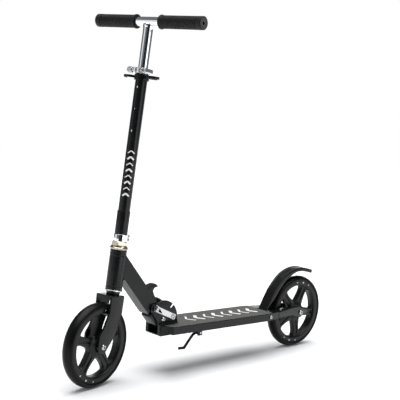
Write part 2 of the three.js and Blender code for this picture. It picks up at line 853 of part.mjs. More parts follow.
// One open clip, whose mouth faces outward and to the rear.
function gripClip(hand) {
  const centre = [0, hand * CLIP_CENTRE];
  const wedge = [centre];
  for (const spread of [-CLIP_MOUTH, 0, CLIP_MOUTH]) {
    wedge.push(polar(centre, 40, hand * CLIP_OPENING + spread));
  }
  const band = steeringRing(CLIP_BORE, CLIP_BORE + CLIP_WALL, -CLIP_HALF_HEIGHT, CLIP_HALF_HEIGHT);
  return cut(band.translate(0, centre[1], 0), plan(wedge, -10, 10));
}

// The holder keeps the two pulled-off grips in its clips, one on each side of the tube.
function gripHolder() {
  const bore = TUBE_RADIUS + GAP;
  const collar = steeringRing(bore, bore + 3.2, -8, 6.6);
  const leftWeb = box([-5, 15, -CLIP_HALF_HEIGHT], [5, 20.5, CLIP_HALF_HEIGHT]);
  const rightWeb = box([-5, -20.5, -CLIP_HALF_HEIGHT], [5, -15, CLIP_HALF_HEIGHT]);
  const inside = upright(rod(bore, -20, 20, FINE));
  const holder = join(collar, gripClip(1), gripClip(-1), leftWeb, rightWeb);
  return cut(holder, inside).translate(0, 0, HOLDER_HEIGHT);
}

// ---------------------------------------------------------------- T-bar
function handlebar() {
  const stem = upright(rod(STEM_RADIUS, STEM_BOTTOM, BAR_HEIGHT, FINE));
  const bar = rod(BAR_RADIUS, -BAR_HALF_LENGTH, BAR_HALF_LENGTH, FINE).translate(0, 0, BAR_HEIGHT);
  const wall = 1.8;
  const stemBore = upright(rod(STEM_RADIUS - wall, STEM_BOTTOM - 5, BAR_HEIGHT - 5, COARSE));
  const barBore = rod(BAR_RADIUS - wall, -200, 200).translate(0, 0, BAR_HEIGHT);
  const buttonHole = rod(3, 0, 30).rotateZ(-Math.PI / 2).translate(0, 0, HEIGHT_HOLES[1]);
  return cut(join(stem, bar), stemBore, barBore, buttonHole);
}

function heightButton() {
  return rod(2.7, 5, STEM_RADIUS - 0.5).rotateZ(-Math.PI / 2).translate(0, 0, HEIGHT_HOLES[1]);
}

function grip() {
  const bore = BAR_RADIUS + GAP;
  const profile = [
    [GRIP_RADIUS + 1.5, GRIP_START],
    [GRIP_RADIUS + 1.5, GRIP_START + 3],
    [GRIP_RADIUS, GRIP_START + 4],
    [GRIP_RADIUS, GRIP_END - 4],
    [GRIP_RADIUS - 2, GRIP_END],
    [4, GRIP_END],
    [4, BAR_HALF_LENGTH + GAP],
    [bore, BAR_HALF_LENGTH + GAP],
    [bore, GRIP_START],
  ];
  return turned(profile, FINE).translate(0, 0, BAR_HEIGHT);
}

// ---------------------------------------------------------------- assembly
function deckGroup() {
  const group = groupAt("deck_body", 0, 0, 0);
  const sloped = groupAt("deck_frame", DECK_REF[0], 0, DECK_REF[1]);
  sloped.rotation.y = -DECK_SLOPE;
  sloped.add(mesh("deck", deckBody(), BLACK_PAINT), mesh("grip_tape", gripTape(), TAPE));
  group.add(sloped);
  for (const [name, make] of [
    ["rear_arm", rearArm],
    ["hinge_plate", hingePlate],
  ]) {
    const left = make();
    const right = toGeometry(toSolid(left).mirror([0, 1, 0]));
    group.add(mesh(`${name}_left`, left, BLACK_PAINT), mesh(`${name}_right`, right, BLACK_PAINT));
  }
  group.add(mesh("front_bracket", frontBracket(), BLACK_PAINT));

  const pivot = groupAt("fold_pivot", FOLD_PIVOT[0], 0, FOLD_PIVOT[1]);
  pivot.add(mesh("pivot_bolt", pivotBolt(), STEEL), mesh("pivot_nut", pivotNut(), STEEL));
  group.add(pivot);

  const [lockX, lockZ] = polar(FOLD_PIVOT, LOCK_RADIUS, LOCK_ANGLE);
  const lock = groupAt("lock", lockX, 0, lockZ);
  lock.rotation.y = -degrees(LEVER_TILT);
  const face = PLATE_OUTER + GAP;
  const nut = hexNut(AXLE_RADIUS + BOLT_CLEARANCE, 6.5, -face - 5, -face);
  lock.add(
    mesh("lock_skewer", lockSkewer(), STEEL),
    mesh("lock_nut", nut, STEEL),
    mesh("fold_lever_pin", leverPin(), STEEL),
    mesh("fold_lever", foldLever(), CHROME),
  );
  group.add(lock);

  const axle = groupAt("rear_axle", 0, 0, WHEEL_RADIUS);
  axle.add(
    mesh("rear_axle_bolt", axleBolt(REAR_AXLE_FACE), STEEL),
    mesh("rear_axle_nut", axleNut(REAR_AXLE_FACE), STEEL),
    wheel("rear", REAR_WINDOW_ANGLE),
  );
  group.add(
    axle,
    mesh("fender", fender(), BLACK_PLASTIC),
    mesh("fender_pivot_bolt", fenderBolt(), STEEL),
    mesh("fender_pivot_nut", fenderNut(), STEEL),
    mesh("fender_spring", fenderSpring(), STEEL),
    mesh("kickstand_bracket", standBracket(), BLACK_PAINT),
    mesh("kickstand_pin", standPin(), STEEL),
    mesh("kickstand_leg", standLeg(), BLACK_PAINT),
  );
  return group;
}

function steeringGroup() {
  const group = groupAt("steering", 0, 0, 0);
  group.rotation.z = degrees(STEER_TURN);
  const axle = groupAt("front_axle", AXLE_RAKE, 0, AXLE_DROP);
  const face = FORK_OUTER + GAP;
  axle.add(
    mesh("front_axle_bolt", axleBolt(face), STEEL),
    mesh("front_axle_nut", axleNut(face), STEEL),
    wheel("front", FRONT_WINDOW_ANGLE),
  );
  const rightGrip = grip().rotateZ(Math.PI);
  group.add(
    axle,
    mesh("fork", fork(), BLACK_PAINT),
    mesh("fork_steerer", steeringRing(9, STEERER_RADIUS, CROWN_TOP + GAP, 104), STEEL),
    mesh("crown_race", steeringRing(TUBE_BORE, 21, CROWN_TOP + GAP, HEAD_BOTTOM - GAP), CHROME),
    mesh("headset_dust_cap", steeringRing(TUBE_BORE, 23.5, HEAD_TOP + GAP, DUST_CAP_TOP), BRASSY),
    mesh("headset_lock_nut", headsetNut(), BRASSY),
    mesh("steerer_clamp", steererClamp(), CHROME),
    mesh("pinch_bolt_lower", pinchBolt(PINCH_HEIGHTS[0]), STEEL),
    mesh("pinch_bolt_upper", pinchBolt(PINCH_HEIGHTS[1]), STEEL),
    mesh("steering_tube", steeringTube(), BLACK_PAINT),
    mesh("tube_sleeve", steeringRing(TUBE_RADIUS + GAP, 15.4, 54 + GAP, 108.5), BLACK_PAINT),
    mesh("grip_holder", gripHolder(), BLACK_PLASTIC),
    mesh("height_clamp", heightClamp(), CHROME),
    mesh("height_clamp_bolt", clampBolt(), STEEL),
    mesh("height_clamp_nut", clampNut(), STEEL),
    mesh("height_clamp_lever", clampLever(), CHROME),
    mesh("handlebar", handlebar(), CHROME),
    mesh("height_button", heightButton(), STEEL),
    mesh("left_grip", grip(), RUBBER),
    mesh("right_grip", rightGrip, RUBBER),
  );
  return group;
}

function neckGroup() {
  const group = groupAt("neck", 0, 0, 0);
  group.add(
    mesh("neck_tube", neckTube(), BLACK_PAINT),
    mesh("release_hook", releaseHook(), BLACK_PAINT),
    mesh("hook_pin", hookPin(), STEEL),
  );
  const head = groupAt("head", STEER_ORIGIN[0], 0, STEER_ORIGIN[1]);
  head.rotation.y = -degrees(STEER_TILT);
  const cup = 15 - GAP;
  head.add(
    mesh("head_tube", steeringRing(15, HEAD_RADIUS, HEAD_BOTTOM, HEAD_TOP), BLACK_PAINT),
    mesh("upper_bearing", steeringRing(TUBE_BORE, cup, HEAD_TOP - 12, HEAD_TOP), STEEL),
    mesh("lower_bearing", steeringRing(TUBE_BORE, cup, HEAD_BOTTOM, HEAD_BOTTOM + 12), STEEL),
    steeringGroup(),
  );
  group.add(head);
  return group;
}

const scooter = new THREE.Group();
scooter.add(deckGroup(), neckGroup());
const extent = new THREE.Box3().setFromObject(scooter, true);
const middle = extent.getCenter(new THREE.Vector3());
scooter.position.set(-middle.x, -middle.y, -extent.min.z);

export default scooter;
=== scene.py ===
"""Looks of the folding kick scooter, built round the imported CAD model.

Shapes are modelled in millimetres in a few local places and set into the row's frame, in metres.
The joints and the deck's mount give those places.
"""

import json
import math

import bmesh
import bpy
from mathutils import Matrix, Vector


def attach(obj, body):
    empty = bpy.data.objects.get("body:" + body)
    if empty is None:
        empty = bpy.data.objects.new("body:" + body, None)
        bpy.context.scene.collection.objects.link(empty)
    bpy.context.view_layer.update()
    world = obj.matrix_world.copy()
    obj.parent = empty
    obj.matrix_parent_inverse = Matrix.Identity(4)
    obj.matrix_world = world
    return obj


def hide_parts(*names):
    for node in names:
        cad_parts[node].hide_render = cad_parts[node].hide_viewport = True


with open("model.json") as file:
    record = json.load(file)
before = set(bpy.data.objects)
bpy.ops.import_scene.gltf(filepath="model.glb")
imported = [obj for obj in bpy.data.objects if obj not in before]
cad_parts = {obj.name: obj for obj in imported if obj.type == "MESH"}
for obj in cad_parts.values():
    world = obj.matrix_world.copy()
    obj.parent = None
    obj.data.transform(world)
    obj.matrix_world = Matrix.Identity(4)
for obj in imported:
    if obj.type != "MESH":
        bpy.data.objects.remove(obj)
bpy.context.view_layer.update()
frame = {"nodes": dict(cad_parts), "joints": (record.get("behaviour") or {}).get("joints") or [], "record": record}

MM = 0.001
NODES = frame["nodes"]
JOINTS = {joint["name"]: joint for joint in frame["joints"]}
FORWARD = Vector((1, 0, 0))
LEFT = Vector((0, 1, 0))
UP = Vector((0, 0, 1))

# ---------------------------------------------------------------- millimetres and degrees
WHEEL_RADIUS = 100
TYRE_HALF_WIDTH = 15
TYRE_INNER = 88
TYRE_CROWN = 9.5
RIM_OUTER = 87.7
RIM_HALF_WIDTH = 13
WINDOW_INNER = 25.5
WINDOW_OUTER = 72.5
SPOKES = 5
HUB_RADIUS = 22
BEARING_RADIUS = 10.7
BEARING_BORE = 4.3
HUB_BORE = 11.2
RIVET_RADIUS = 83
RIVET_STEP = 17.5  # between two rivets of a group
DECK_MOUNT_X = 300  # from the rear axle to the deck's mount
TAPE_TOP = 1.3
DECK_HALF_WIDTH = 53
TAPER_START = 160  # ahead of the rear axle; behind it the deck narrows
DECK_TAPER = 0.1698  # lost on each side per millimetre
ARM_INNER = 17.5
ARM_FRONT = 111.7
AXLE_PAD_RADIUS = 15
AXLE_BOLT_FACE = 27.3
FENDER_PIVOT = (150.6, 109.5)  # ahead of the rear axle and above the ground
FENDER_BOLT_FACE = 52.8
FOLD_PIVOT = (507, 141)  # likewise
LEVER_SIDEWAYS = 29.4
PLATE_INNER = 17.9
FOLD_FACE = 22.4  # the outer face of a hinge plate
PLATE_RADIUS = 46
LOCK_RADIUS = 41
LOCK_ANGLE = 46.5
HOOK_SLOPE = 46.84
FORK_OUTER = 24.5
FORK_INNER = 19.5
AXLE_RAKE = 38.07
AXLE_DROP = -204.95
TUBE_RADIUS = 14
TUBE_INNER = 12.4
TUBE_BOTTOM = 38
TUBE_TOP = 441
BAND_INNER = 14.3  # the bore of every ring about the tube
STEERER_CLAMP_TOP = 54
HEIGHT_HOLES = (397, 346.1, 295.2)
CLAMP_HEIGHT = 434.6
CLAMP_BOLT_AHEAD = 19.5
CLAMP_PIN_SIDEWAYS = 16.5
HOLDER_HEIGHT = 421
CLIP_SIDEWAYS = 33
CLIP_AZIMUTH = 140
CLIP_GAP = 43  # from the middle of a clip's gap to its tip
BAR_HEIGHT = 549.6
BAR_RADIUS = 11.2
BAR_HALF_LENGTH = 150
STEM_RADIUS = 12
STEM_BOTTOM = 230
GRIP_START = 36
GRIP_END = 156
GRIP_RADIUS = 15.3

# ---------------------------------------------------------------- camera and studio, metres
LENS = 81.8
CAMERA_AT = Vector((1.58419, 1.6514, 0.6759))
CAMERA_YAW = math.radians(46.932)
CAMERA_PITCH = math.radians(6.3)
CAMERA_ROLL = math.radians(3.529)
FLAG_AZIMUTH = 47  # degrees, the side that the camera looks from
CENTRE_HEIGHT = 0.4
SOFTBOX_DISTANCE = 3.0


def add_camera():
    data = bpy.data.cameras.new("camera")
    data.lens = LENS
    data.sensor_width = 36
    ahead = Vector((
        -math.cos(CAMERA_YAW) * math.cos(CAMERA_PITCH),
        -math.sin(CAMERA_YAW) * math.cos(CAMERA_PITCH),
        -math.sin(CAMERA_PITCH),
    ))
    level = ahead.cross(UP).normalized()
    above = level.cross(ahead)
    right = math.cos(CAMERA_ROLL) * level + math.sin(CAMERA_ROLL) * above
    top = math.cos(CAMERA_ROLL) * above - math.sin(CAMERA_ROLL) * level
    turn = Matrix((right, top, -ahead)).transposed().to_4x4()
    camera = bpy.data.objects.new("camera", data)
    camera.matrix_world = Matrix.Translation(CAMERA_AT) @ turn
    bpy.context.scene.collection.objects.link(camera)
    bpy.context.scene.camera = camera


# ---------------------------------------------------------------- places
def place_at(origin, x_axis, y_axis):
    """Where local millimetres lie in the row's frame."""
    turn = Matrix((x_axis, y_axis, x_axis.cross(y_axis))).transposed().to_4x4()
    return Matrix.Translation(origin) @ turn @ Matrix.Scale(MM, 4)


def joint_at(name):
    return Vector(JOINTS[name]["pos_m"])


def joint_axis(name):
    return Vector(JOINTS[name]["axis"]).normalized()


rear_axle = joint_at("rear_wheel_spin")
GROUND = place_at(Vector((rear_axle.x, 0, 0)), FORWARD, LEFT)
REAR_WHEEL = place_at(rear_axle, FORWARD, LEFT)
FOLD = place_at(joint_at("fold"), FORWARD, LEFT)

steer_axis = joint_axis("steer")
axle_axis = joint_axis("front_wheel_spin")
STEERING = place_at(joint_at("steer"), axle_axis.cross(steer_axis), axle_axis)
FRONT_WHEEL = STEERING @ Matrix.Translation((AXLE_RAKE, 0, AXLE_DROP))

lever_up = -joint_axis("fold_lever_swing")
lock_middle = joint_at("fold_lever_swing") * Vector((1, 0, 1))
LOCK = place_at(lock_middle, LEFT.cross(lever_up), LEFT)

deck_mount = next(m for m in frame["record"]["mounts"] if m["name"] == "deck_top")
deck_normal = Vector(deck_mount["axis"]).normalized()
DECK_TOP = place_at(Vector(deck_mount["pos_m"]), LEFT.cross(deck_normal), LEFT)
DECK = DECK_TOP @ Matrix.Translation((-DECK_MOUNT_X, 0, -TAPE_TOP))
STAND = place_at(joint_at("kickstand_swing"), FORWARD, LEFT)


# ---------------------------------------------------------------- materials
ROUGH_SWING = 0.12  # how far the noise moves a finish's roughness, as a part of it


def material(name, base, roughness, metallic=0.0, shade=0.25, grain=400.0, bump=0.1,
             specular=0.5):
    """A finish whose colour, gloss and surface vary with fine noise."""
    made = bpy.data.materials.new(name)
    made.use_nodes = True
    tree = made.node_tree
    shader = tree.nodes["Principled BSDF"]
    shader.inputs["Metallic"].default_value = metallic
    shader.inputs["Specular IOR Level"].default_value = specular
    where = tree.nodes.new("ShaderNodeTexCoord")

    def noise(scale, detail):
        node = tree.nodes.new("ShaderNodeTexNoise")
        node.inputs["Scale"].default_value = scale
        node.inputs["Detail"].default_value = detail
        tree.links.new(where.outputs["Object"], node.inputs["Vector"])
        return node.outputs["Fac"]

    def spread(value, low, high):
        node = tree.nodes.new("ShaderNodeMapRange")
        node.inputs["From Min"].default_value = 0.3
        node.inputs["From Max"].default_value = 0.7
        node.inputs["To Min"].default_value = low
        node.inputs["To Max"].default_value = high
        tree.links.new(value, node.inputs["Value"])
        return node.outputs["Result"]

    broad = noise(grain * 0.06, 3.0)
    fine = noise(grain, 4.0)
    tint = tree.nodes.new("ShaderNodeMix")
    tint.data_type = "RGBA"
    tint.inputs["A"].default_value = (*[c * (1 - shade) for c in base], 1)
    tint.inputs["B"].default_value = (*[min(1, c * (1 + shade)) for c in base], 1)
    tree.links.new(broad, tint.inputs["Factor"])
    tree.links.new(tint.outputs["Result"], shader.inputs["Base Color"])
    rough = spread(broad, roughness * (1 - ROUGH_SWING), roughness * (1 + ROUGH_SWING))
    tree.links.new(rough, shader.inputs["Roughness"])
    if bump:
        raised = tree.nodes.new("ShaderNodeBump")
        raised.inputs["Strength"].default_value = bump
        raised.inputs["Distance"].default_value = 0.0004
        tree.links.new(fine, raised.inputs["Height"])
        tree.links.new(raised.outputs["Normal"], shader.inputs["Normal"])
    return made


def tape_material():
    """Grey abrasive paper: dark grit with light specks."""
    made = material("grip_tape_grit", (0.062, 0.0615, 0.058), 0.85, shade=0.3, grain=900, bump=0.9)
    tree = made.node_tree
    shader = tree.nodes["Principled BSDF"]
    tint = shader.inputs["Base Color"].links[0].from_node
    where = next(n for n in tree.nodes if n.type == "TEX_COORD")
    grit = tree.nodes.new("ShaderNodeTexNoise")
    grit.inputs["Scale"].default_value = 700
    grit.inputs["Detail"].default_value = 2
    specks = tree.nodes.new("ShaderNodeMapRange")
    specks.inputs["From Min"].default_value = 0.56
    specks.inputs["From Max"].default_value = 0.68
    mixed = tree.nodes.new("ShaderNodeMix")
    mixed.data_type = "RGBA"
    mixed.inputs["B"].default_value = (0.20, 0.20, 0.19, 1)
    tree.links.new(where.outputs["Object"], grit.inputs["Vector"])
    tree.links.new(grit.outputs["Fac"], specks.inputs["Value"])
    tree.links.new(specks.outputs["Result"], mixed.inputs["Factor"])
    tree.links.new(tint.outputs["Result"], mixed.inputs["A"])
    tree.links.new(mixed.outputs["Result"], shader.inputs["Base Color"])
    return made


FINISHES = {
    "black_paint": material(
        "black_powder_coat", (0.0045, 0.0047, 0.0053), 0.27, grain=900, bump=0.1, specular=0.27
    ),
    "black_plastic": material(
        "moulded_black_plastic", (0.0045, 0.0045, 0.0048), 0.31, grain=700, bump=0.1,
        specular=0.25,
    ),
    "tyre": material(
        "polyurethane_tyre", (0.003, 0.003, 0.0033), 0.34, grain=500, bump=0.08, specular=0.13
    ),
    "grip_rubber": material(
        "grip_rubber", (0.006, 0.006, 0.006), 0.6, grain=1400, bump=0.3, specular=0.3
    ),
    "grip_tape": tape_material(),
    "chrome": material("chrome", (0.80, 0.81, 0.82), 0.07, metallic=1, shade=0.02, bump=0.003),
    "brassy_chrome": material(
        "warm_chrome", (0.52, 0.47, 0.39), 0.14, metallic=1, shade=0.06, bump=0.01
    ),
    "steel": material(
        "zinc_steel", (0.46, 0.47, 0.48), 0.24, metallic=1, shade=0.08, grain=600, bump=0.04
    ),
}
BRUSHED = material(
    "brushed_aluminium", (0.62, 0.63, 0.64), 0.26, metallic=1, shade=0.05, grain=800, bump=0.05
)
CAP_RUBBER = material("cap_rubber", (0.055, 0.055, 0.056), 0.5, grain=1400, bump=0.15, specular=0.3)
PRINT = material("white_print", (0.80, 0.80, 0.78), 0.55, shade=0.06, grain=1200, bump=0.1)
SPRING_STEEL = material(
    "spring_steel", (0.42, 0.42, 0.42), 0.32, metallic=1, shade=0.1, grain=500, bump=0.05
)


# ---------------------------------------------------------------- shapes, in local millimetres
def polar(centre, radius, angle):
    turn = math.radians(angle)
    return (centre[0] + radius * math.cos(turn), centre[1] + radius * math.sin(turn))


def arc(centre, radius, start, end, steps):
    return [polar(centre, radius, start + (end - start) * i / steps) for i in range(steps + 1)]


def softened(points, radius, closed=True, steps=4):
    """The outline with its corners rounded off."""
    made = []
    for i, point in enumerate(points):
        if not closed and i in (0, len(points) - 1):
            made.append(tuple(point))
            continue
        here = Vector(point)
        back = Vector(points[i - 1]) - here
        onward = Vector(points[(i + 1) % len(points)]) - here
        reach = min(radius, back.length * 0.45, onward.length * 0.45)
        start = here + back.normalized() * reach
        end = here + onward.normalized() * reach
        for k in range(steps + 1):
            t = k / steps
            made.append(tuple(start.lerp(here, t).lerp(here.lerp(end, t), t)))
    return made


def through(points, steps):
    """A smooth line through the points."""
    line = [Vector(p) for p in points]
    padded = [2 * line[0] - line[1], *line, 2 * line[-1] - line[-2]]
    made = []
    for i in range(1, len(padded) - 2):
        a, b, c, d = padded[i - 1 : i + 3]
        for k in range(steps):
            t = k / steps
            spot = 2 * b + (c - a) * t + (2 * a - 5 * b + 4 * c - d) * t**2
            made.append((spot + (3 * b - a - 3 * c + d) * t**3) / 2)
    made.append(line[-1])
    return made


def surface(rows, along=False):
    """A closed mesh through rows of points, each row a loop. along joins the last to the first."""
    made = bmesh.new()
    grid = [[made.verts.new(point) for point in row] for row in rows]
    count = len(grid[0])
    pairs = list(zip(grid, grid[1:]))
    if along:
        pairs.append((grid[-1], grid[0]))
    for low, high in pairs:
        for j in range(count):
            k = (j + 1) % count
            made.faces.new((low[j], low[k], high[k], high[j]))
    if not along:
        made.faces.new(grid[0])
        made.faces.new(grid[-1])
    bmesh.ops.remove_doubles(made, verts=made.verts, dist=1e-4)
    bmesh.ops.dissolve_degenerate(made, edges=made.edges, dist=1e-5)
    bmesh.ops.recalc_face_normals(made, faces=made.faces)
    return to_mesh(made)


def to_mesh(made):
    mesh = bpy.data.meshes.new("shape")
    made.to_mesh(mesh)
    made.free()
    return mesh


def turned(profile, sides, upright=False, start=0, end=360, wave=None):
    """A closed profile of (radius, height) turned about Y, or about Z if upright."""
    full = end - start == 360
    rows = []
    for i in range(sides + (0 if full else 1)):
        angle = math.radians(start + (end - start) * i / sides)
        row = []
        for radius, height in profile:
            reach = radius + (wave(radius, height, angle) if wave else 0)
            across, other = reach * math.cos(angle), reach * math.sin(angle)
            row.append((across, other, height) if upright else (across, height, other))
        rows.append(row)
    return surface(rows, along=full)


def ring(inner, outer, low, high, rounding, sides=96, upright=True, start=0, end=360):
    corners = [(inner, low), (outer, low), (outer, high), (inner, high)]
    return turned(softened(corners, rounding), sides, upright, start, end)


def plate(outline, low, high, holes=(), bevel=0.8, flat=False):
    """A rounded-edge plate. The outline is a side view, (x, z), between two widths y. With flat
    it is a top view, (x, y), between two heights z."""
    curve = bpy.data.curves.new("plate", "CURVE")
    curve.dimensions = "2D"
    curve.fill_mode = "BOTH"
    for loop in (outline, *holes):
        spline = curve.splines.new("POLY")
        spline.points.add(len(loop) - 1)
        for point, (a, b) in zip(spline.points, loop):
            point.co = (a, b, 0, 1)
        spline.use_cyclic_u = True
    curve.extrude = (high - low) / 2 - bevel
    curve.bevel_depth = bevel
    curve.bevel_resolution = 2
    curve.offset = -bevel
    thing = bpy.data.objects.new("plate", curve)
    bpy.context.scene.collection.objects.link(thing)
    mesh = evaluated(thing)
    bpy.data.objects.remove(thing)
    middle = (low + high) / 2
    mesh.transform(
        Matrix.Translation((0, 0, middle)) if flat
        else Matrix.Translation((0, middle, 0)) @ Matrix.Rotation(math.pi / 2, 4, "X")
    )
    made = bmesh.new()
    made.from_mesh(mesh)
    bmesh.ops.remove_doubles(made, verts=made.verts, dist=1e-3)
    bmesh.ops.recalc_face_normals(made, faces=made.faces)
    return to_mesh(made)


def evaluated(thing):
    bpy.context.view_layer.update()
    graph = bpy.context.evaluated_depsgraph_get()
    return bpy.data.meshes.new_from_object(thing.evaluated_get(graph))


def rod(radius, low, high, rounding, sides, upright=False):
    corners = [(0, low), (radius, low), (radius, high), (0, high)]
    profile = softened(corners, rounding, closed=False)
    return turned(profile, sides, upright)


def block(low, high, bevel):
    """A box with rounded edges, between two corners."""
    (x0, y0, z0), (x1, y1, z1) = low, high
    made = bmesh.new()
    bmesh.ops.create_cube(made, size=1)
    size = Matrix.Diagonal((x1 - x0, y1 - y0, z1 - z0, 1))
    middle = Matrix.Translation(((x0 + x1) / 2, (y0 + y1) / 2, (z0 + z1) / 2))
    bmesh.ops.transform(made, matrix=middle @ size, verts=made.verts)
    bmesh.ops.bevel(
        made, geom=made.edges[:], offset=bevel, segments=3, affect="EDGES", profile=0.5
    )
    return to_mesh(made)


def tube(line, radius, sides):
    """A round rod along a line of points."""
    rows = []
    across = None
    for i, point in enumerate(line):
        ahead = (line[min(i + 1, len(line) - 1)] - line[max(i - 1, 0)]).normalized()
        if across is None:
            across = ahead.orthogonal()
        across = (across - ahead * across.dot(ahead)).normalized()
        other = ahead.cross(across)
        rows.append([
            point + radius * (math.cos(a) * across + math.sin(a) * other)
            for a in (2 * math.pi * k / sides for k in range(sides))
        ])
    return surface(rows)


def moved(mesh, x=0, y=0, z=0, turn=None):
    if turn:
        mesh.transform(turn)
    mesh.transform(Matrix.Translation((x, y, z)))
    return mesh


def joined(*meshes):
    made = bmesh.new()
    for mesh in meshes:
        made.from_mesh(mesh)
    return to_mesh(made)


def combined(mesh, *tools, operation="DIFFERENCE"):
    """A boolean of the mesh with the tools."""
    things = []
    for shape in (mesh, *tools):
        thing = bpy.data.objects.new("tool", shape)
        bpy.context.scene.collection.objects.link(thing)
        things.append(thing)
    for tool in things[1:]:
        step = things[0].modifiers.new("boolean", "BOOLEAN")
        step.operation = operation
        step.solver = "EXACT"
        step.object = tool
    made = evaluated(things[0])
    for thing in things:
        bpy.data.objects.remove(thing)
    return made


def smooth(mesh, angle):
    """Smooth shading that stops at the shape's real edges."""
    made = bmesh.new()
    made.from_mesh(mesh)
    for face in made.faces:
        face.smooth = True
    for edge in made.edges:
        edge.smooth = len(edge.link_faces) == 2 and edge.calc_face_angle(0) < math.radians(angle)
    made.to_mesh(mesh)
    made.free()


def add(name, mesh, place, body, finish, replaces=(), angle=32):
    """Sets a shape into the row's frame as a piece that rides on a body."""
    mesh.transform(place)
    smooth(mesh, angle)
    mesh.materials.clear()
    mesh.materials.append(FINISHES[finish] if finish in FINISHES else finish)
    thing = bpy.data.objects.new(name, mesh)
    mesh.name = name
    bpy.context.scene.collection.objects.link(thing)
    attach(thing, body)
    if replaces:
        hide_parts(*replaces)


def edge_bevel(thing, width):
    step = thing.modifiers.new("bevel", "BEVEL")
    step.width = width * MM
    step.segments = 3
    step.limit_method = "ANGLE"
    step.angle_limit = math.radians(38)


def keep(node, finish, bevel):
    """A CAD node that stays, with a finish and eased edges."""
    thing = NODES[node]
    thing.data.materials.clear()
    thing.data.materials.append(FINISHES[finish])
    weld = thing.modifiers.new("weld", "WELD")
    weld.merge_threshold = 0.00001
    edge_bevel(thing, bevel)


# ---------------------------------------------------------------- wheels
def tyre_shape():
    crown = []
    for i in range(33):
        angle = math.radians(-90 + 180 * i / 32)
        flare = abs(math.sin(angle)) ** 1.25 * math.copysign(1, math.sin(angle))
        radius = WHEEL_RADIUS - TYRE_CROWN + TYRE_CROWN * math.cos(angle)
        crown.append((radius, TYRE_HALF_WIDTH * flare))
    foot = [
        (89.6, 14.6),
        (88.9, 13.6),
        (TYRE_INNER, 13.2),
        (TYRE_INNER, -13.2),
        (88.9, -13.6),
        (89.6, -14.6),
    ]
    return turned(crown + foot, sides=160)


def rim_window(middle):
    """An opening between two spokes: pointed at the hub, following the rim outside."""
    def at(radius, spread):
        return polar((0, 0), radius, middle + spread)

    side_line = [at(WINDOW_INNER, 0), at(33, 13), at(44, 21.5), at(56, 25.5), at(65, 26.2)]
    rise = [tuple(p) for p in through([Vector(p) for p in side_line], 6)]
    shoulder = softened([rise[-1], at(71.1, 24.6), at(WINDOW_OUTER, 19)], 4, closed=False)
    crown = arc((0, 0), WINDOW_OUTER, middle + 17, middle, 8)
    half = rise[:-1] + shoulder[:-1] + crown
    mirrored = []
    for x, z in reversed(half[1:-1]):
        radius = math.hypot(x, z)
        spread = math.degrees(math.atan2(z, x)) - middle
        mirrored.append(at(radius, -spread))
    return half + mirrored


def spoke_groove(middle, hand):
    """A shallow channel down the middle of a spoke's face."""
    side = [(26, 1.2), (36, 2.4), (50, 3.4), (61, 4.4), (69, 5.4)]
    outline = side + [(r, -h) for r, h in reversed(side)]
    spin = math.radians(middle)
    outline = [
        (x * math.cos(spin) - z * math.sin(spin), x * math.sin(spin) + z * math.cos(spin))
        for x, z in softened(outline, 2.2)
    ]
    low, high = (5.2, 12) if hand > 0 else (-12, -5.2)
    return plate(outline, low, high, bevel=0.6)


def rim_shape(first_window):
    step = 360 / SPOKES
    windows = [rim_window(step * i) for i in range(SPOKES)]
    web = plate(arc((0, 0), WINDOW_OUTER + 8, 0, 357.5, 143), -8, 8, windows, bevel=2.2)
    grooves = [
        spoke_groove(step * (i + 0.5), hand)
        for i in range(SPOKES) for hand in (1, -1)
    ]
    web = combined(web, joined(*grooves))
    band_half = [
        (WINDOW_OUTER + 0.6, 0),
        (WINDOW_OUTER + 0.6, 9.4),
        (74.9, 12.1),
        (76.9, RIM_HALF_WIDTH),
        (RIM_OUTER, RIM_HALF_WIDTH),
    ]
    band_profile = [(r, -h) for r, h in reversed(band_half)] + band_half[1:]
    band = turned(softened(band_profile, 1.2), sides=160)
    hub_profile = [
        (HUB_BORE, -14.9),
        (17.5, -15),
        (19.4, -12.6),
        (HUB_RADIUS, -11),
        (28, -7.4),
        (28, 7.4),
        (HUB_RADIUS, 11),
        (19.4, 12.6),
        (17.5, 15),
        (HUB_BORE, 14.9),
    ]
    hub = turned(softened(hub_profile, 1.0), sides=96)
    spin = Matrix.Rotation(-math.radians(first_window), 4, "Y")
    return moved(joined(web, band, hub), turn=spin)


def rivets(centre_angles):
    """Groups of three bright rivets in the rim's flanks. The middle one is the largest."""
    shapes = []
    for hand in (1, -1):
        for centre in centre_angles:
            for offset in (-1, 0, 1):
                radius = 2.9 if offset == 0 else 2.2
                dome = turned(
                    [
                        (0, 0),
                        (radius, 0),
                        (radius, 0.4),
                        (radius * 0.8, 0.9),
                        (radius * 0.4, 1.15),
                        (0, 1.2),
                    ],
                    sides=24,
                )
                if hand < 0:
                    dome.transform(Matrix.Rotation(math.pi, 4, "X"))
                x, z = polar((0, 0), RIVET_RADIUS, centre + offset * RIVET_STEP)
                shapes.append(moved(dome, x, hand * (RIM_HALF_WIDTH - 0.1), z))
    return joined(*shapes)


def bearing_shape(hand):
    profile = [
        (BEARING_BORE, 8.1),
        (BEARING_BORE, 14.9),
        (6.3, 14.9),
        (6.5, 14.3),
        (8.7, 14.3),
        (8.9, 14.9),
        (BEARING_RADIUS, 14.9),
        (BEARING_RADIUS, 8.1),
    ]
    return turned([(r, hand * h) for r, h in profile], sides=48)


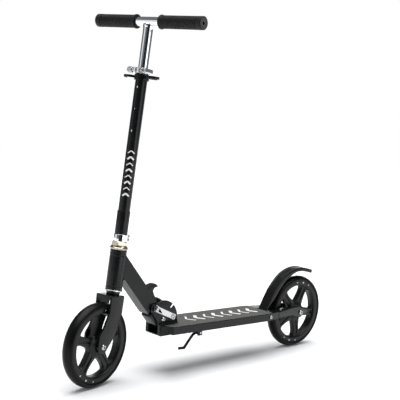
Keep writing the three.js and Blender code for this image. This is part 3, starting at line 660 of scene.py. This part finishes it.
def add_wheel(end, place, first_window, rivet_angles):
    body = f"{end}_wheel"
    add(f"{end}_tyre_round", tyre_shape(), place, body, "tyre", [f"{end}_tyre"])
    add(
        f"{end}_rim_moulding", rim_shape(first_window), place, body, "black_plastic",
        [f"{end}_rim"], angle=28,
    )
    add(f"{end}_rim_rivets", rivets(rivet_angles), place, body, "steel")
    for hand, side in ((1, "left"), (-1, "right")):
        node = f"{end}_bearing_{side}"
        add(f"{node}_ball", bearing_shape(hand), place, body, "steel", [node])
    keep(f"{end}_bearing_sleeve", "steel", 0.2)


def hexagon(radius):
    return [polar((0, 0), radius, 30 + 60 * i) for i in range(6)]


def bolt(shank, low, face, head, height):
    """A bolt along Y with a domed head and a hexagonal socket, its shank from low."""
    top = face + height
    profile = [
        (0, low),
        (shank, low),
        (shank, face),
        (head, face),
        (head, face + height * 0.45),
        (head * 0.86, face + height * 0.78),
        (head * 0.6, top),
        (0, top),
    ]
    body = turned(softened(profile, 0.35, closed=False), sides=48)
    key = plate(hexagon(head * 0.47), top - height * 0.62, top + 2, bevel=0.05)
    return combined(body, key)


def lock_nut(bore, radius, face, height):
    """A nylon-insert nut on the right-hand face, its outer end domed."""
    body = plate(
        hexagon(radius), -face - height * 0.72, -face, [arc((0, 0), bore, 0, 345, 23)], bevel=0.5
    )
    collar = ring(bore, radius * 0.78, -face - height, -face - height * 0.6, 0.7, 48, False)
    return joined(body, collar)


def add_bolts(name, place, body, face, diameter, tail, head, nut):
    """The bolt and nut in place of the CAD nodes NAME_bolt and NAME_nut. The shank ends a tail's
    length past the far face. head and nut are each a radius and a height."""
    shank = diameter / 2
    add(
        f"{name}_bolt_socket", bolt(shank, -face - tail, face, *head), place, body,
        "steel", [f"{name}_bolt"],
    )
    add(
        f"{name}_nut_nylon", lock_nut(shank + 0.3, nut[0], face, nut[1]), place, body,
        "steel", [f"{name}_nut"],
    )


# ---------------------------------------------------------------- deck
def arm_heights(x):
    """Bottom and top of a rear arm at a distance ahead of the axle."""
    top_line = ((-37.5, 98), (-34, 102.5), (-20, 108.5), (-4, 114), (10, 117.6), (28, 119.6),
                (70, 119.3), (ARM_FRONT, 117.5))
    under_line = ((-37.5, 98), (-33, 93.5), (-8.6, 87.7), (8.6, 87.7), (40, 97),
                  (ARM_FRONT, 100.3))
    heights = []
    for line in (under_line, top_line):
        for (x0, z0), (x1, z1) in zip(line, line[1:]):
            if x <= x1:
                break
        heights.append(z0 + (z1 - z0) * (x - x0) / (x1 - x0))
    if abs(x) < 8.6:
        heights[0] = WHEEL_RADIUS - math.sqrt(AXLE_PAD_RADIUS**2 - x**2)
    return heights


def deck_edge(x):
    """Half the deck's width at a distance ahead of the axle."""
    return DECK_HALF_WIDTH - max(0, TAPER_START - x) * DECK_TAPER


def rear_arm_shape(hand):
    """An arm swept along its length with rounded edges, and the tongue under the deck."""
    stations = [-37.2, -36.4, -35, -33]
    stations += [-30 + 2.5 * i for i in range(57)]
    rows = []
    for x in stations:
        low, high = arm_heights(min(x, ARM_FRONT))
        outer = deck_edge(x)
        depth = max(high - low, 0.6)
        easing = min(1, depth / 14)
        loop = arc((outer - 2 * easing, low + 2 * easing), 2 * easing, -90, 0, 4)
        loop += arc((outer - 2.5 * easing, high - 2.5 * easing), 2.5 * easing, 0, 90, 6)
        loop += arc((ARM_INNER + 2 * easing, high - 2 * easing), 2 * easing, 90, 180, 4)
        loop += arc((ARM_INNER + easing, low + easing), easing, 180, 270, 3)
        rows.append([(x, hand * y, z) for y, z in loop])
    arm = surface(rows)
    tongue = block((105, hand * 27.2 - 9.7, 101), (157, hand * 27.2 + 9.7, 113.9), 1)
    return joined(arm, tongue)


def flat_strokes(marks, low, high):
    """Printed strokes, each from one point to another, as thin flat bars."""
    shapes = []
    for (x0, y0), (x1, y1), width in marks:
        run = Vector((x1 - x0, y1 - y0))
        across = Vector((-run.y, run.x)).normalized() * width / 2
        start, end = Vector((x0, y0)), Vector((x1, y1))
        outline = [start - across, end - across, end + across, start + across]
        rows = [[(p.x, p.y, z) for p in outline] for z in (low, high)]
        shapes.append(surface(rows))
    return joined(*shapes)


def chevron_marks(start, pitch, count, half, stroke):
    """A row of chevrons that point the same way, thick and thin in turn."""
    marks = []
    for i in range(count):
        back = start + pitch * i
        width = stroke * (1 if i % 2 == 0 else 0.6)
        tip = (back + half * 0.75, 0)
        for hand in (1, -1):
            marks.append(((back, hand * half), tip, width))
    return marks


# ---------------------------------------------------------------- folding joint
def hinge_plate_shape(low, high):
    """Round about the fold pivot, with an open notch at the rear of its rim."""
    notch_line = (
        (4.3, PLATE_RADIUS), (5.4, 36), (0, 34.6), (-5.4, 36), (-4.3, PLATE_RADIUS)
    )
    notch = [polar(FOLD_PIVOT, radius, 134 + spread) for spread, radius in notch_line]
    lock = polar(FOLD_PIVOT, LOCK_RADIUS, LOCK_ANGLE)
    outline = [
        (458, 124.9),
        (461, 141),
        *arc(FOLD_PIVOT, PLATE_RADIUS, 180, 139, 16),
        *notch,
        *arc(FOLD_PIVOT, PLATE_RADIUS, 129, 64, 26),
        *arc(lock, 11, 100, -32, 18),
        (525, 137),
        (519, 125),
        (519, 103.6),
        (470, 103.6),
        (470, 124.9),
    ]
    return plate(outline, low, high, bevel=0.9)


def fold_lever_shape():
    half = 7.2
    outline = [
        (-65, -half),
        (2, -half),
        (2, -3.4),
        (-4, -3.4),
        (-4, 3.4),
        (2, 3.4),
        (2, half),
        (-65, half),
    ]
    opening = [(-6.5, -4.4), (-21, -4.4), (-6.5, 4.4)]
    blade = plate(
        softened(outline, 1.6), LEVER_SIDEWAYS - 2.5, LEVER_SIDEWAYS + 2.5,
        [softened(opening, 0.8)], bevel=0.7,
    )
    shapes = [blade]
    for hand in (1, -1):
        low, high = sorted((hand * 3.5, hand * half))
        shapes.append(moved(rod(5.7, low, high, 0.6, 40, True), y=LEVER_SIDEWAYS))
    for i in range(4):
        rib = rod(0.9, -5.6, 5.6, 0.4, 16, True)
        shapes.append(moved(rib, -61.5 + 3.2 * i, LEVER_SIDEWAYS + 2.4, 0))
    return joined(*shapes)


def hook_point(along, below):
    """A point by its distances up the hook's slope and below it, from the fold pivot."""
    x, z = polar((0, 0), along, HOOK_SLOPE)
    return polar((x, z), below, HOOK_SLOPE - 90)


def hook_shape():
    back = [
        (90, -24), (88, -27), (82.5, -37.5), (78.5, -43.5), (71.5, -47.5), (61.6, -48.4),
    ]
    throat = [
        (65.5, -43), (67.3, -38), (66.3, -32), (60.5, -28.5), (50, -26), (42, -29), (34, -32),
        (28, -32.2), (24.5, -29),
    ]
    outline = [tuple(p) for p in through([Vector(p) for p in back], 5)]
    outline += [tuple(p) for p in through([Vector(p) for p in throat], 5)]
    outline += [(24, -17.4), (84, -20.3)]
    return plate([hook_point(s, n) for s, n in outline], -6.5, 6.5, bevel=1.1)


# ---------------------------------------------------------------- foot brake
def fender_line():
    points = ((143, 109), (133, 111), (126, 121), (103.5, 160), (84, 184), (60, 205.5), (35, 217),
              (10, 222), (-16, 221.3), (-52, 212.5))
    return through([Vector((x, 0, z)) for x, z in points], 8)


def fender_shape():
    """A moulded guard: a crowned sheet with a raised edge, skirts over the tyre and a thick lip."""
    line = fender_line()
    last = len(line) - 1
    rows = []
    for i, point in enumerate(line):
        ahead = (line[min(i + 1, last)] - line[max(i - 1, 0)]).normalized()
        away = Vector((-ahead.z, 0, ahead.x))
        if away.dot(point - Vector((0, 0, WHEEL_RADIUS))) < 0:
            away = -away
        t = i / last
        skirt = 2 + 9 * smooth_step(0.22, 0.34, t) - 3.8 * smooth_step(0.60, 0.76, t)
        crown = 0.9 * smooth_step(0.2, 0.4, t)
        tail = 1 - 0.16 * smooth_step(0.9, 1.0, t) ** 2
        top = 2.2
        inner = -2 - 5 * smooth_step(0.78, 0.86, t)
        wide = 16 * tail
        section = [
            (wide, -skirt), (wide, top - 2.4), (wide - 1.9, top + 0.5), (wide - 4.2, top + 0.3),
            (wide - 6.2, top - 1.1), (0, top - 1.1 + crown), (6.2 - wide, top - 1.1),
            (4.2 - wide, top + 0.3), (1.9 - wide, top + 0.5), (-wide, top - 2.4),
            (-wide, -skirt), (2.4 - wide, -skirt), (2.6 - wide, inner),
            (wide - 2.6, inner), (wide - 2.4, -skirt),
        ]
        rows.append([
            point + Vector((0, y, 0)) + away * n for y, n in softened(section, 0.8, steps=2)
        ])
    knuckle = moved(rod(5.2, -9, 9, 0.8, 48), FENDER_PIVOT[0], 0, FENDER_PIVOT[1])
    root = block((138, -9, 107.3), (148, 9, 111.7), 0.8)
    return joined(surface(rows), knuckle, root)


def smooth_step(low, high, value):
    t = min(1, max(0, (value - low) / (high - low)))
    return t * t * (3 - 2 * t)


def spring_shape(radius, wire, pitch, turns):
    line = []
    steps = int(turns * 24)
    for i in range(steps + 1):
        angle = 2 * math.pi * i / 24
        line.append(Vector((
            radius * math.cos(angle), pitch * i / 24, radius * math.sin(angle)
        )))
    return tube(line, wire, 10)


# ---------------------------------------------------------------- steering
def fork_shape():
    axle = (AXLE_RAKE, AXLE_DROP)
    outline = [
        (-15, -88), (30.5, -88), (29.7, -126), (44.5, -165), (54, -178.5),
        *arc(axle, 16.5, 15, -140, 20),
        (3, -184), (-14, -131),
    ]
    body = plate(softened(outline, 3), -FORK_OUTER, FORK_OUTER, bevel=1.8)
    inside = block((-60, -FORK_INNER, -260), (90, FORK_INNER, -97), 1.5)
    weld = turned(softened([(11, -88.6), (14.6, -88.6), (13.2, -86.9), (11, -86.7)], 0.5), 48, True)
    return joined(combined(body, inside), weld)


def steering_tube_shape():
    wall = [
        (TUBE_INNER, TUBE_BOTTOM), (TUBE_RADIUS, TUBE_BOTTOM), (TUBE_RADIUS, TUBE_TOP),
        (TUBE_INNER, TUBE_TOP),
    ]
    body = turned(softened(wall, 0.5), 128, True)
    return combined(body, joined(*[height_drill(height) for height in HEIGHT_HOLES]))


def height_drill(height):
    """What a height hole takes away, through the front of the tube or of the stem."""
    drill = rod(3.1, 5, 30, 0.05, 32)
    return moved(drill, z=height, turn=Matrix.Rotation(-math.pi / 2, 4, "Z"))


def head_tube_shape():
    low, high, outer = -75.3, 18.3, 19.7
    profile = [
        (15, low), (outer, low), (outer, low + 7), (outer - 0.5, low + 7.6),
        (outer - 0.5, low + 8.2), (outer, low + 8.8),
    ]
    for groove in (4, 11):
        profile += [
            (outer, groove - 0.8), (outer - 0.7, groove - 0.3), (outer - 0.7, groove + 0.3),
            (outer, groove + 0.8),
        ]
    profile += [(outer, high), (15, high)]
    return turned(softened(profile, 0.4), 128, True)


def dust_cap_shape():
    profile = [
        (13, 18.6), (19.8, 18.6), (20, 20.2), (22.9, 21), (23.5, 22), (22.9, 23),
        (20.4, 23.8), (19.4, 27.8), (13, 27.8),
    ]
    return turned(softened(profile, 0.5), 128, True)


def headset_nut_shape():
    """A hexagon whose corners are turned off at both ends."""
    body = plate(hexagon(19.4), 28.3, 37.7, bevel=0.4, flat=True)
    barrel = turned(softened(
        [(0, 28.3), (17.4, 28.3), (19.2, 30), (19.2, 35.8), (16.9, 37.7), (0, 37.7)], 0.3,
        closed=False,
    ), 96, True)
    bored = combined(body, barrel, operation="INTERSECT")
    return combined(bored, rod(12.6, 20, 42, 0.05, 64, True))


def split_ring(inner, outer, low, high, gap_angle, gap):
    """A ring about the tube with a slit at gap_angle."""
    half = math.degrees(gap / 2 / outer)
    return ring(
        inner, outer, low, high, 0.7, 96, True, gap_angle + half, gap_angle + 360 - half
    )


def steerer_clamp_shape():
    band = split_ring(BAND_INNER, 16.7, TUBE_BOTTOM, STEERER_CLAMP_TOP, 180, 1.6)
    ears = [
        block((-25, min(h * 0.8, h * 6), 38.2), (-14.6, max(h * 0.8, h * 6), 53.8), 0.9)
        for h in (1, -1)
    ]
    return joined(band, *ears)


def height_clamp_shape():
    low, high = CLAMP_HEIGHT - 6.4, CLAMP_HEIGHT + 6.4
    band = split_ring(BAND_INNER, 17.3, low, high, 0, 3)
    ears = [
        block((14.6, min(h * 1.5, h * 8), low + 0.3), (25, max(h * 1.5, h * 8), high - 0.3), 1.4)
        for h in (1, -1)
    ]
    return joined(band, *ears)


def knurled_nut_shape():
    profile = [
        (2.8, -8.3), (3.9, -8.3), (3.9, -13.2), (6.1, -13.2), (6.6, -14.2), (6.6, -25.6),
        (5.9, -27), (2.8, -27),
    ]

    def knurl(radius, height, angle):
        return 0.3 * math.cos(20 * angle) if radius > 6.5 else 0

    return turned(softened(profile, 0.4), 160, wave=knurl)


def clamp_lever_shape():
    outline = [
        (CLAMP_BOLT_AHEAD + 1, 18.8), (0, 18.6), (-13.4, 16.4), (-15.6, 18.8), (-2, 22.4),
        (CLAMP_BOLT_AHEAD, 22),
    ]
    blade = plate(softened(outline, 1.6), -5.5, 5.5, bevel=0.8, flat=True)
    cams = []
    for hand in (1, -1):
        low, high = sorted((hand * 2.9, hand * 5.5))
        cams.append(moved(
            rod(5.5, low, high, 0.5, 40, True), CLAMP_BOLT_AHEAD, CLAMP_PIN_SIDEWAYS
        ))
    return joined(blade, *cams)


def grip_holder_shape():
    collar = turned(softened(
        [(BAND_INNER, -8), (17.5, -8), (17.5, 5.6), (16.6, 6.6), (BAND_INNER, 6.6)], 0.7
    ), 96, True)
    shapes = [collar]
    for hand in (1, -1):
        middle = hand * CLIP_AZIMUTH
        tips = (middle + CLIP_GAP, middle + 360 - CLIP_GAP)
        clip = ring(13.5, 17, -3, 3, 0.9, 72, True, *tips)
        shapes.append(moved(clip, y=hand * CLIP_SIDEWAYS))
        for tip in tips:
            x, y = polar((0, hand * CLIP_SIDEWAYS), 15.25, tip)
            shapes.append(moved(rod(1.9, -3, 3, 0.5, 24, True), x, y))
        low, high = sorted((hand * 15, hand * 20.5))
        shapes.append(block((-5, low, -3), (5, high, 3), 0.8))
    return moved(joined(*shapes), z=HOLDER_HEIGHT)


def handlebar_shape():
    """The stem, drilled for the button and flared a little at its weld, and the crossbar."""
    flare = [
        (10.2, STEM_BOTTOM), (STEM_RADIUS, STEM_BOTTOM), (STEM_RADIUS, 531), (12.5, 535), (13.4, 539),
        (13.4, 543), (10.2, 546),
    ]
    stem = combined(turned(softened(flare, 0.8), 128, True), height_drill(HEIGHT_HOLES[1]))
    bar_profile = [
        (9.4, -BAR_HALF_LENGTH), (BAR_RADIUS, -BAR_HALF_LENGTH), (BAR_RADIUS, BAR_HALF_LENGTH),
        (9.4, BAR_HALF_LENGTH),
    ]
    bar = turned(softened(bar_profile, 0.6), 128)
    return joined(stem, moved(bar, z=BAR_HEIGHT))


def grip_shape(hand):
    """A ribbed sleeve with a flange at its inner end and a plain band at its outer end."""
    profile = [(11.5, GRIP_START), (16.8, GRIP_START), (16.8, GRIP_START + 2.6),
               (15.2, GRIP_START + 4)]
    rib = GRIP_START + 7
    while rib < GRIP_END - 20:
        profile += [
            (GRIP_RADIUS, rib - 0.9), (14.5, rib - 0.5), (14.5, rib + 0.5), (GRIP_RADIUS, rib + 0.9)
        ]
        rib += 4.4
    profile += [
        (GRIP_RADIUS, GRIP_END - 16.5), (13.9, GRIP_END - 16), (13.9, GRIP_END - 14.6),
        (GRIP_RADIUS + 0.2, GRIP_END - 14), (GRIP_RADIUS + 0.2, GRIP_END - 1),
        (14.5, GRIP_END), (13.4, GRIP_END), (13.4, GRIP_END - 4.3), (11.5, GRIP_END - 4.3),
    ]
    return on_bar(turned(softened(profile, 0.3, steps=2), 96), hand)


def grip_cap_shape(hand):
    """The disc that closes a grip, with a ring groove and a hole in its middle."""
    profile = [
        (4, GRIP_END - 4), (13.2, GRIP_END - 4), (13.2, GRIP_END - 0.6), (12.6, GRIP_END),
        (10.8, GRIP_END), (10.4, GRIP_END - 1), (8.8, GRIP_END - 1), (8.4, GRIP_END - 0.1),
        (5, GRIP_END - 0.1), (4, GRIP_END - 0.8),
    ]
    return on_bar(turned(softened(profile, 0.2, steps=2), 72), hand)


def on_bar(shape, hand):
    """A shape turned about +Y, set on the left or right end of the crossbar."""
    if hand < 0:
        shape.transform(Matrix.Rotation(math.pi, 4, "Z"))
    return moved(shape, z=BAR_HEIGHT)


def curved_strokes(marks, radius, facing, low, high):
    """Printed strokes wrapped round an upright tube. A stroke's points are (height, sideways)."""
    shapes = []
    for (k0, s0), (k1, s1), width in marks:
        run = Vector((k1 - k0, s1 - s0))
        across = Vector((-run.y, run.x)).normalized() * width / 2
        rows = []
        for i in range(9):
            spot = Vector((k0, s0)).lerp(Vector((k1, s1)), i / 8)
            row = []
            for corner, lift in ((-1, low), (1, low), (1, high), (-1, high)):
                point = spot + across * corner
                angle = math.radians(facing) + point.y / radius
                reach = radius + lift
                row.append((reach * math.cos(angle), reach * math.sin(angle), point.x))
            rows.append(row)
        shapes.append(surface(rows))
    return joined(*shapes)


# ---------------------------------------------------------------- assembly
def build_deck():
    body = "deck_body"
    keep("deck", "black_paint", 1.6)
    keep("grip_tape", "grip_tape", 0.3)
    keep("front_bracket", "black_paint", 1.2)
    keep("kickstand_bracket", "black_paint", 0.6)
    keep("kickstand_pin", "steel", 0.4)
    for hand, side in ((1, "left"), (-1, "right")):
        add(
            f"rear_arm_{side}_swept", rear_arm_shape(hand), GROUND, body, "black_paint",
            [f"rear_arm_{side}"],
        )
        low, high = sorted((hand * PLATE_INNER, hand * FOLD_FACE))
        add(
            f"hinge_plate_{side}_round", hinge_plate_shape(low, high), GROUND, body,
            "black_paint", [f"hinge_plate_{side}"],
        )
    add_bolts("pivot", FOLD, body, FOLD_FACE + 0.3, 8, 5, (6, 4), (6.5, 5))
    add_bolts("rear_axle", REAR_WHEEL, body, AXLE_BOLT_FACE, 8, 5, (7, 4), (7, 6))
    fender_pivot = GROUND @ Matrix.Translation((FENDER_PIVOT[0], 0, FENDER_PIVOT[1]))
    add_bolts("fender_pivot", fender_pivot, body, FENDER_BOLT_FACE, 6, 1, (5, 3), (5.5, 4))
    spring = moved(spring_shape(4.3, 0.7, 1.75, 3), y=10.4)
    add("fender_spring_coil", spring, fender_pivot, body, SPRING_STEEL, ["fender_spring"])

    skewer = joined(
        rod(4, -FOLD_FACE - 6, FOLD_FACE + 0.8, 0.4, 40),
        rod(2.9, FOLD_FACE - 2, LEVER_SIDEWAYS - 3, 0.1, 32),
        moved(rod(4.6, -3, 3, 0.5, 40, True), y=LEVER_SIDEWAYS),
    )
    add("lock_skewer_eye", skewer, LOCK, body, "steel", ["lock_skewer"])
    add("lock_nut_nylon", lock_nut(4.3, 6.5, FOLD_FACE + 0.3, 5), LOCK, body, "steel", ["lock_nut"])
    pin = moved(rod(2, -7.7, 7.7, 0.5, 32, True), y=LEVER_SIDEWAYS)
    add("fold_lever_pin_round", pin, LOCK, body, "steel", ["fold_lever_pin"])
    add("fold_lever_cast", fold_lever_shape(), LOCK, "fold_handle", BRUSHED, ["fold_lever"])

    marks = chevron_marks(start=171, pitch=32, count=8, half=20, stroke=9)
    print_shape = flat_strokes(marks, TAPE_TOP - 0.2, TAPE_TOP + 0.15)
    add("deck_print", print_shape, DECK, body, PRINT)


def build_brake():
    add("fender_moulding", fender_shape(), GROUND, "foot_brake", "black_plastic", ["fender"])


def build_stand():
    offsets = ((0, 0, 0), (12, 0.5, -2), (28, 8, -5), (85, 46, -15), (91, 49, -15.5),
               (107, 50, -14.5))
    leg = tube(through([Vector(p) for p in offsets], 10), 3.5, 24)
    eye = rod(6.5, -5.6, 5.6, 0.8, 40)
    add("kickstand_rod", joined(leg, eye), STAND, "kickstand", "black_paint", ["kickstand_leg"])


def build_neck():
    keep("neck_tube", "black_paint", 1.4)
    keep("upper_bearing", "steel", 0.3)
    keep("lower_bearing", "steel", 0.3)
    keep("hook_pin", "black_paint", 0.3)
    add("release_hook_cast", hook_shape(), FOLD, "hook", "black_paint", ["release_hook"])
    head = place_at(joint_at("steer"), LEFT.cross(steer_axis), LEFT)
    add("head_tube_turned", head_tube_shape(), head, "neck", "black_paint", ["head_tube"])


def build_steering():
    body = "steering"
    add("fork_pressed", fork_shape(), STEERING, body, "black_paint", ["fork"], angle=30)
    keep("fork_steerer", "steel", 0.3)
    race = turned(softened([
        (12.5, -80.2), (16.5, -80.2), (20.4, -79), (21, -77.4), (20.4, -75.8), (12.5, -75.6),
    ], 0.4), 96, True)
    seat = turned(softened([
        (12.5, -87.7), (15.5, -87.7), (16.5, -80.5), (12.5, -80.5),
    ], 0.3), 96, True)
    add("crown_race_seat", seat, STEERING, body, "black_paint")
    add("crown_race_turned", race, STEERING, body, "chrome", ["crown_race"])
    add(
        "headset_dust_cap_turned", dust_cap_shape(), STEERING, body, "brassy_chrome",
        ["headset_dust_cap"],
    )
    add(
        "headset_lock_nut_turned", headset_nut_shape(), STEERING, body, "brassy_chrome",
        ["headset_lock_nut"],
    )
    add(
        "steerer_clamp_split", steerer_clamp_shape(), STEERING, body, "chrome", ["steerer_clamp"]
    )
    for name, height in (("lower", 42), ("upper", 50)):
        pinch = moved(bolt(2, -9, 6.3, 3.4, 3.2), -20.5, 0, height)
        add(f"pinch_bolt_{name}_socket", pinch, STEERING, body, "steel", [f"pinch_bolt_{name}"])
    add(
        "steering_tube_drilled", steering_tube_shape(), STEERING, body, "black_paint",
        ["steering_tube"],
    )
    sleeve = ring(BAND_INNER, 15.4, STEERER_CLAMP_TOP + 0.3, 108.5, 0.5)
    add("tube_sleeve_turned", sleeve, STEERING, body, "black_paint", ["tube_sleeve"])
    add(
        "grip_holder_moulding", grip_holder_shape(), STEERING, body, "black_plastic",
        ["grip_holder"],
    )
    add("height_clamp_split", height_clamp_shape(), STEERING, body, "chrome", ["height_clamp"])
    nut = moved(knurled_nut_shape(), CLAMP_BOLT_AHEAD, 0, CLAMP_HEIGHT)
    add("height_clamp_nut_knurled", nut, STEERING, body, "steel", ["height_clamp_nut"])
    keep("height_clamp_bolt", "steel", 0.3)
    lever = moved(clamp_lever_shape(), z=CLAMP_HEIGHT)
    add(
        "height_clamp_lever_cast", lever, STEERING, "clamp_handle", "chrome",
        ["height_clamp_lever"],
    )
    add_bolts("front_axle", FRONT_WHEEL, body, FORK_OUTER + 0.3, 8, 5, (7, 4), (7, 6))

    marks = chevron_marks(start=144, pitch=14.2, count=8, half=8, stroke=3.8)
    print_shape = curved_strokes(marks, TUBE_RADIUS, 35.6, -0.1, 0.12)
    add("tube_print", print_shape, STEERING, body, PRINT)


def build_bar():
    add("handlebar_welded", handlebar_shape(), STEERING, "t_bar", "chrome", ["handlebar"])
    for hand, side in ((1, "left"), (-1, "right")):
        add(
            f"{side}_grip_ribbed", grip_shape(hand), STEERING, "t_bar", "grip_rubber",
            [f"{side}_grip"],
        )
        add(f"{side}_grip_cap", grip_cap_shape(hand), STEERING, "t_bar", CAP_RUBBER)
    button = [(0, 5), (2.7, 5), (2.7, 10.4), (2.1, 11.3), (0, 11.5)]
    dome = turned(softened(button, 0.3, closed=False), 40)
    dome = moved(dome, z=HEIGHT_HOLES[1], turn=Matrix.Rotation(-math.pi / 2, 4, "Z"))
    add("height_button_domed", dome, STEERING, "button", "steel", ["height_button"])


# ---------------------------------------------------------------- studio
def sheet_at(name, middle, facing, width, height, finish):
    """A flat upright or level sheet that faces a direction."""
    facing = facing.normalized()
    across = facing.orthogonal() if abs(facing.z) > 0.99 else UP.cross(facing)
    across = across.normalized() * width / 2
    rise = facing.cross(across).normalized() * height / 2
    mesh = bpy.data.meshes.new(name)
    corners = [middle - across - rise, middle + across - rise, middle + across + rise,
               middle - across + rise]
    mesh.from_pydata(corners, [], [(0, 1, 2, 3)])
    mesh.materials.append(finish)
    thing = bpy.data.objects.new(name, mesh)
    bpy.context.scene.collection.objects.link(thing)
    return thing


def softbox(name, azimuth, height, width, tall, power):
    """An area light at an azimuth round the object, aimed at its middle. The camera can't see it."""
    turn = math.radians(azimuth)
    place = Vector((SOFTBOX_DISTANCE * math.cos(turn), SOFTBOX_DISTANCE * math.sin(turn), height))
    data = bpy.data.lights.new(name, "AREA")
    data.shape = "RECTANGLE"
    data.size = width
    data.size_y = tall
    data.energy = power
    thing = bpy.data.objects.new(name, data)
    thing.visible_camera = False
    aim = (Vector((0, 0, CENTRE_HEIGHT)) - place).to_track_quat("-Z", "Y")
    thing.matrix_world = Matrix.Translation(place) @ aim.to_matrix().to_4x4()
    bpy.context.scene.collection.objects.link(thing)


def add_studio():
    pale = material("pale_floor", (0.93, 0.93, 0.93), 0.9, shade=0.01, grain=40, bump=0.0)
    sheet_at("floor", Vector((0, 0, 0)), UP, 16, 16, pale)

    # A dark flag in front of the object, seen only in reflections, darkens what faces the camera.
    dark = material("black_flag", (0.02, 0.02, 0.02), 0.9, shade=0.05, grain=10, bump=0.0)
    turn = math.radians(FLAG_AZIMUTH)
    outward = Vector((math.cos(turn), math.sin(turn), 0))
    flag = sheet_at("flag", outward * 1.3 + UP * 0.7, -outward, 1.3, 1.4, dark)
    flag.visible_camera = False
    flag.visible_diffuse = False
    flag.visible_shadow = False

    # A white backdrop all round, seen by the camera alone.
    white = bpy.data.materials.new("white_backdrop")
    white.use_nodes = True
    shader = white.node_tree.nodes["Principled BSDF"]
    shader.inputs["Base Color"].default_value = (0, 0, 0, 1)
    shader.inputs["Specular IOR Level"].default_value = 0
    shader.inputs["Emission Color"].default_value = (1, 1, 1, 1)
    shader.inputs["Emission Strength"].default_value = 1.0
    made = bmesh.new()
    bmesh.ops.create_uvsphere(made, u_segments=48, v_segments=24, radius=9)
    dome_mesh = to_mesh(made)
    dome_mesh.materials.append(white)
    dome = bpy.data.objects.new("backdrop", dome_mesh)
    bpy.context.scene.collection.objects.link(dome)
    dome.visible_diffuse = False
    dome.visible_glossy = False
    dome.visible_transmission = False
    dome.visible_shadow = False

    softbox("right_softbox", FLAG_AZIMUTH + 52, height=0.9, width=1.8, tall=2.4, power=25)
    softbox("left_softbox", FLAG_AZIMUTH - 72, height=0.9, width=1.6, tall=2.4, power=8)
    softbox("back_softbox", FLAG_AZIMUTH + 180, height=0.6, width=3.4, tall=0.8, power=14)
    overhead = bpy.data.lights.new("overhead", "SUN")
    overhead.energy = 3.6
    overhead.angle = math.radians(60)
    bpy.context.scene.collection.objects.link(bpy.data.objects.new("overhead", overhead))

    world = bpy.data.worlds.new("studio")
    bpy.context.scene.world = world
    world.use_nodes = True
    light = world.node_tree.nodes["Background"]
    light.inputs["Color"].default_value = (0.88, 0.94, 1, 1)
    light.inputs["Strength"].default_value = 0.2


add_camera()
add_studio()
build_deck()
build_brake()
build_stand()
build_neck()
build_steering()
build_bar()
add_wheel("rear", REAR_WHEEL, first_window=9, rivet_angles=(103, -73))
add_wheel("front", FRONT_WHEEL, first_window=50, rivet_angles=(-68, 112))

bpy.context.scene.view_settings.view_transform = "Standard"
